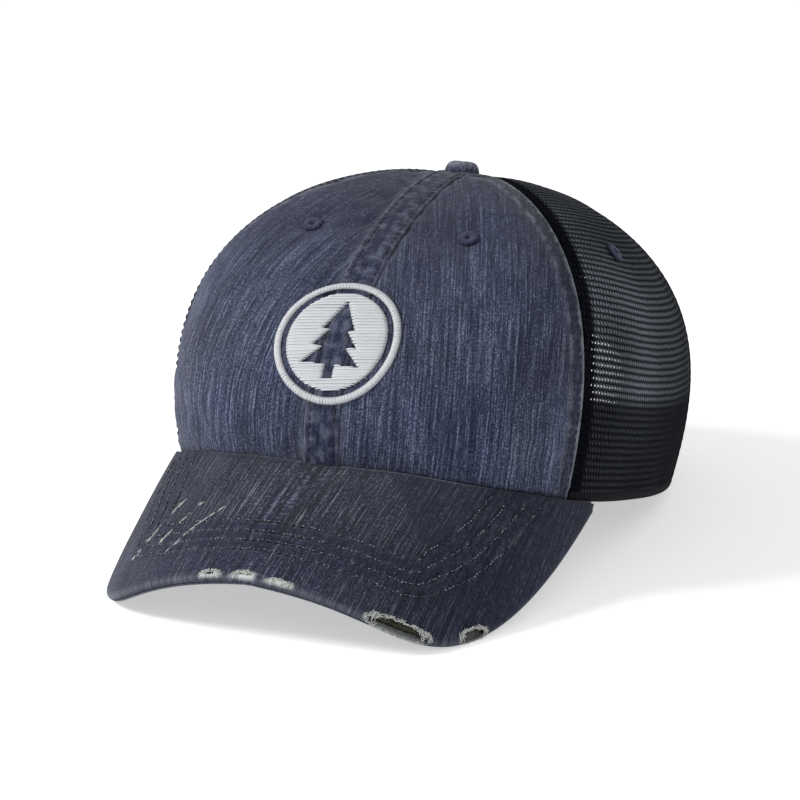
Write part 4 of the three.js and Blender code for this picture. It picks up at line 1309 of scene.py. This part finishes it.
def top_button(sides=96, rings=34, tuck=0.12):
    """Cloth button, from its tucked underside round the side and over the dome."""
    level = np.linspace(0, 1, rings)
    dome = np.clip((level - tuck) / (1 - tuck), 0, 1) * math.pi / 2
    radius = np.where(level < tuck, 5.2 + 11 * level, BUTTON_RADIUS * np.cos(dome) ** 0.42)
    height = np.where(level < tuck, 0.1 * level, 0.3 + (BUTTON_HEIGHT - 0.3) * np.sin(dome) ** 1.1)
    a, r = np.meshgrid(np.linspace(0, 2 * math.pi, sides, endpoint=False), radius)
    h = np.repeat(height[:, None], sides, 1)
    r = r + 0.05 * np.sin(a * 9 + 2 * tiny(np.cos(a) * 4, np.sin(a) * 4, 0.0)) * bump(h - 1.6, 1.5)
    crease = bump(r * np.cos(a - 0.5) + 0.4, 0.5)
    h = h - 0.35 * crease * (h > 3)
    x, y = r * np.cos(a), r * np.sin(a)
    points = np.stack([x, APEX_BACK + y, CROWN_HEIGHT - DIMPLE_DEPTH + BUTTON_SEAT + h], -1).reshape(-1, 3)
    layers = {
        "grain": np.stack([x + 900, y - h, 0 * h], -1).reshape(-1, 3),
        "wear": (0.55 * bump(h - 4.2, 1.3)).ravel(),
        "deep": (0.9 * bump(h - 0.3, 1.7) + 0.5 * crease * (h > 3)).ravel(),
    }
    build("top_button_denim", points, tube_faces(rings, sides), M_BUTTON, layers, ["top_button_cap"])


top_button()

# ---- snap straps ----

MIDDLE, HALF_TALL = (STRAP_LOW + STRAP_HIGH) / 2, (STRAP_HIGH - STRAP_LOW) / 2
HOLE_RADIUS, HOLE_MOUTH, EASED = 2.7, 2.88, 0.18
# peg's outline from its top down to the strap's face: radius and depth
PEG_PROFILE = ((0.4, -2.08), (1.4, -2.0), (1.9, -1.75), (1.95, -1.4), (1.72, -1.0), (1.75, -0.5), (1.9, 0))
# half the span round the hinge whose end points each strap works out, and the angle above which its edges
# shade sharp
BEND_HALF, SHARP = 2.2, math.radians(35)


def strap_place(t, y, depth, sign):
    """t along from the back centre towards this strap's sewn end, y from its middle, depth below its face."""
    step = PEG_STEP * smoothstep(-t, 1 - STRAP_HINGE, 12 - STRAP_HINGE) * (sign < 0)
    return off_crown(HALF_RIM - sign * t, MIDDLE + y, STRAP_OUT - step - depth)


def strap_outline(angle, left, right, tip):
    """Cell boundary seen from its middle: a rectangle, or a rounded end where tip is set."""
    c, s = np.cos(angle), np.sin(angle)
    wide = np.where(c > 0, right, left)
    scale = np.minimum(wide / np.maximum(1e-6, np.abs(c)), HALF_TALL / np.maximum(1e-6, np.abs(s)))
    x, y = c * scale, s * scale
    corner = (np.abs(y) > HALF_TALL - 0.01) & (wide - np.abs(x) < 0.3)
    x = np.where(corner, np.sign(x) * wide, x)
    if tip:
        shy = np.clip((-x - (left - HALF_TALL)) / HALF_TALL, 0, 1)
        y = y * np.where(x < HALF_TALL - left, np.sqrt(1 - 0.8 * shy**2), 1)
    return x, y


def flat_strap(holes, sides=32):
    """Points (t, y, depth), quads and peg ends of a flat strap: a cell round each snap, then a plain tab."""
    ring = np.arange(sides) * 2 * math.pi / sides + math.pi / 4
    points, faces, caps = [], [], []
    if holes:
        face = ((HOLE_RADIUS, STRAP_THICK - EASED), (HOLE_RADIUS, EASED), (HOLE_MOUTH, 0.0))
        back = ((HOLE_RADIUS, STRAP_THICK - EASED), (HOLE_MOUTH, STRAP_THICK))
    else:
        face, back = ((1.9, 0.0),), ((0.3, STRAP_THICK),)

    def add(layers, flip=False, capped=False):
        start = sum(map(len, points))
        points.extend(layers)
        faces.append(grid_faces(len(layers), sides, start, close=True)[:, :: -1 if flip else 1])
        if capped:
            caps.append((start + np.arange(sides))[:: 1 if flip else -1])

    for k in range(SNAP_COUNT):
        at = STRAP_TIP + SNAP_MARGIN + k * SNAP_PITCH
        x, y = strap_outline(ring, SNAP_MARGIN if k == 0 else SNAP_PITCH / 2, SNAP_PITCH / 2, k == 0)

        def circles(profile):
            return [np.stack([at + r * np.cos(ring), r * np.sin(ring), 0 * ring + d], -1) for r, d in profile]

        for profile, depth in ((face, 0.0), (back, STRAP_THICK)):
            layers = circles(profile)
            outline = np.stack([at + x, y, 0 * ring + depth], -1)
            add([*layers, (layers[-1] + outline) / 2, outline], depth > 0, depth > 0 and not holes)
        if not holes:
            add(circles(PEG_PROFILE), capped=True)
    start = STRAP_TIP + SNAP_MARGIN + (SNAP_COUNT - 0.5) * SNAP_PITCH
    ts = np.append(np.arange(start, TAB_END + 0.01, 0.8)[:-1], TAB_END)
    ys = np.unique(np.round(strap_outline(ring, SNAP_PITCH / 2, SNAP_PITCH / 2, False)[1], 6))
    t, y = (values.ravel() for values in np.meshgrid(ts, ys))
    for depth, order in ((0.0, -1), (STRAP_THICK, 1)):
        faces.append(grid_faces(len(ys), len(ts), sum(map(len, points)))[:, ::order])
        points.append(np.stack([t, y, 0 * t + depth], -1))
    return np.concatenate(points), np.concatenate(faces), np.array(caps, int).reshape(-1, sides)


def plate_edges(quads, flat):
    """Quads that join the outer edge of the strap's face to that of its back."""
    places, depth = flat[:, :2], flat[:, 2]
    back = np.nonzero(depth > STRAP_THICK - 0.01)[0]
    sides = []
    for a, b in bare_edges(quads):
        apart = [np.linalg.norm(places[back] - places[v], axis=1) for v in (a, b)]
        if depth[a] < 0.01 and depth[b] < 0.01 and max(d.min() for d in apart) < 0.05:
            sides.append([b, a, *(back[d.argmin()] for d in apart)])
    return np.array(sides)


def snap_strap(name, sign, holes, nodes):
    flat, quads, caps = flat_strap(holes)
    points = strap_place(*flat.T, sign)
    first, number = weld(points, 0.01)
    quads, caps = number[quads[:, ::sign]], number[caps[:, ::sign]]
    quads = np.concatenate([quads, plate_edges(quads, flat[first])])
    whole = np.array([len(set(quad)) == 4 for quad in quads])
    obj = build(name, points[first], [quads[whole], caps], M_PLASTIC, nodes=nodes, body=None)
    obj.data.set_sharp_from_angle(angle=SHARP)
    start, end = (world(strap_place(STRAP_HINGE + d, 0.0, 0.5, sign)) for d in (BEND_HALF, -BEND_HALF))
    tuple(start)
    tuple(end)
    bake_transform(obj)


snap_strap("hole_strap_moulding", 1, True, ["hole_strap", "hole_strap_tab"])
snap_strap("peg_strap_moulding", -1, False, ["peg_strap", "peg_strap_tab"])

# ---- kept solids, floor, light and camera ----

for node, material in (("bill_board", M_BOARD), ("top_button_tack", M_STEEL)):
    for slot in frame["nodes"][node].material_slots:
        slot.material = material

# where the lights and the camera point, in metres
AIM, LOOK = Vector((0, 0, 0.07)), Vector((0, -0.019, 0.0475))
# name, place, diameter and power
LIGHTS = (
    ("key", (-1.25, -0.75, 1.15), 0.6, 25),
    ("fill", (1.0, -1.2, 1.1), 1.2, 3.5),
    ("back", (0.5, 1.3, 1.9), 2.4, 3),
)
AZIMUTH, ELEVATION, ROLL, DISTANCE = math.radians(24), math.radians(14.89), math.radians(0.34), 1.235
LENS, SENSOR, SHIFT = 152.667, 36, (-0.00055, -0.044225)
SKY_ON_CAP, SKY_SEEN = 0.36, 1.0


def pale_floor(half=30):
    mesh = bpy.data.meshes.new("floor")
    corners = [(-half, -half, 0), (half, -half, 0), (half, half, 0), (-half, half, 0)]
    mesh.from_pydata(corners, [], [(0, 1, 2, 3)])
    floor = bpy.data.objects.new("floor", mesh)
    bpy.context.collection.objects.link(floor)
    shader = Shader("floor_pale")
    shader.surface.inputs["Emission Color"].default_value = (1, 1, 1, 1)
    shader.surface.inputs["Emission Strength"].default_value = 0.5
    mesh.materials.append(shader.finish(linear("f4f4f4"), 0.9, specular=0.1))


def studio_sky():
    """White surroundings: bright where the camera sees them, dimmer as light on the cap."""
    sky = bpy.data.worlds.new("studio")
    sky.use_nodes = True
    background = sky.node_tree.nodes["Background"]
    background.inputs[0].default_value = (1, 1, 1, 1)
    path = sky.node_tree.nodes.new("ShaderNodeLightPath")
    amount = sky.node_tree.nodes.new("ShaderNodeMapRange")
    amount.inputs[3].default_value, amount.inputs[4].default_value = SKY_ON_CAP, SKY_SEEN
    sky.node_tree.links.new(path.outputs["Is Camera Ray"], amount.inputs[0])
    sky.node_tree.links.new(amount.outputs[0], background.inputs[1])
    bpy.context.scene.world = sky


def area_light(name, place, size, power):
    data = bpy.data.lights.new(name, "AREA")
    data.shape, data.size, data.energy = "DISK", size, power
    obj = bpy.data.objects.new(name, data)
    obj.location = place
    obj.rotation_euler = (AIM - Vector(place)).to_track_quat("-Z", "Y").to_euler()
    bpy.context.collection.objects.link(obj)


def camera():
    level = math.cos(ELEVATION)
    back = Vector((math.sin(AZIMUTH) * level, -math.cos(AZIMUTH) * level, math.sin(ELEVATION)))
    right = Vector((math.cos(AZIMUTH), math.sin(AZIMUTH), 0))
    above = back.cross(right)
    c, s = math.cos(ROLL), math.sin(ROLL)
    right, above = right * c - above * s, right * s + above * c
    spot = LOOK + ORIGIN / 1000 + back * DISTANCE
    data = bpy.data.cameras.new("camera")
    data.sensor_width, data.lens = SENSOR, LENS
    data.shift_x, data.shift_y = SHIFT
    obj = bpy.data.objects.new("camera", data)
    obj.matrix_world = Matrix([*zip(right, above, back, spot), (0, 0, 0, 1)])
    bpy.context.collection.objects.link(obj)
    bpy.context.scene.camera = obj


pale_floor()
studio_sky()
for light in LIGHTS:
    area_light(*light)
camera()
bpy.context.scene.view_settings.view_transform = "Standard"
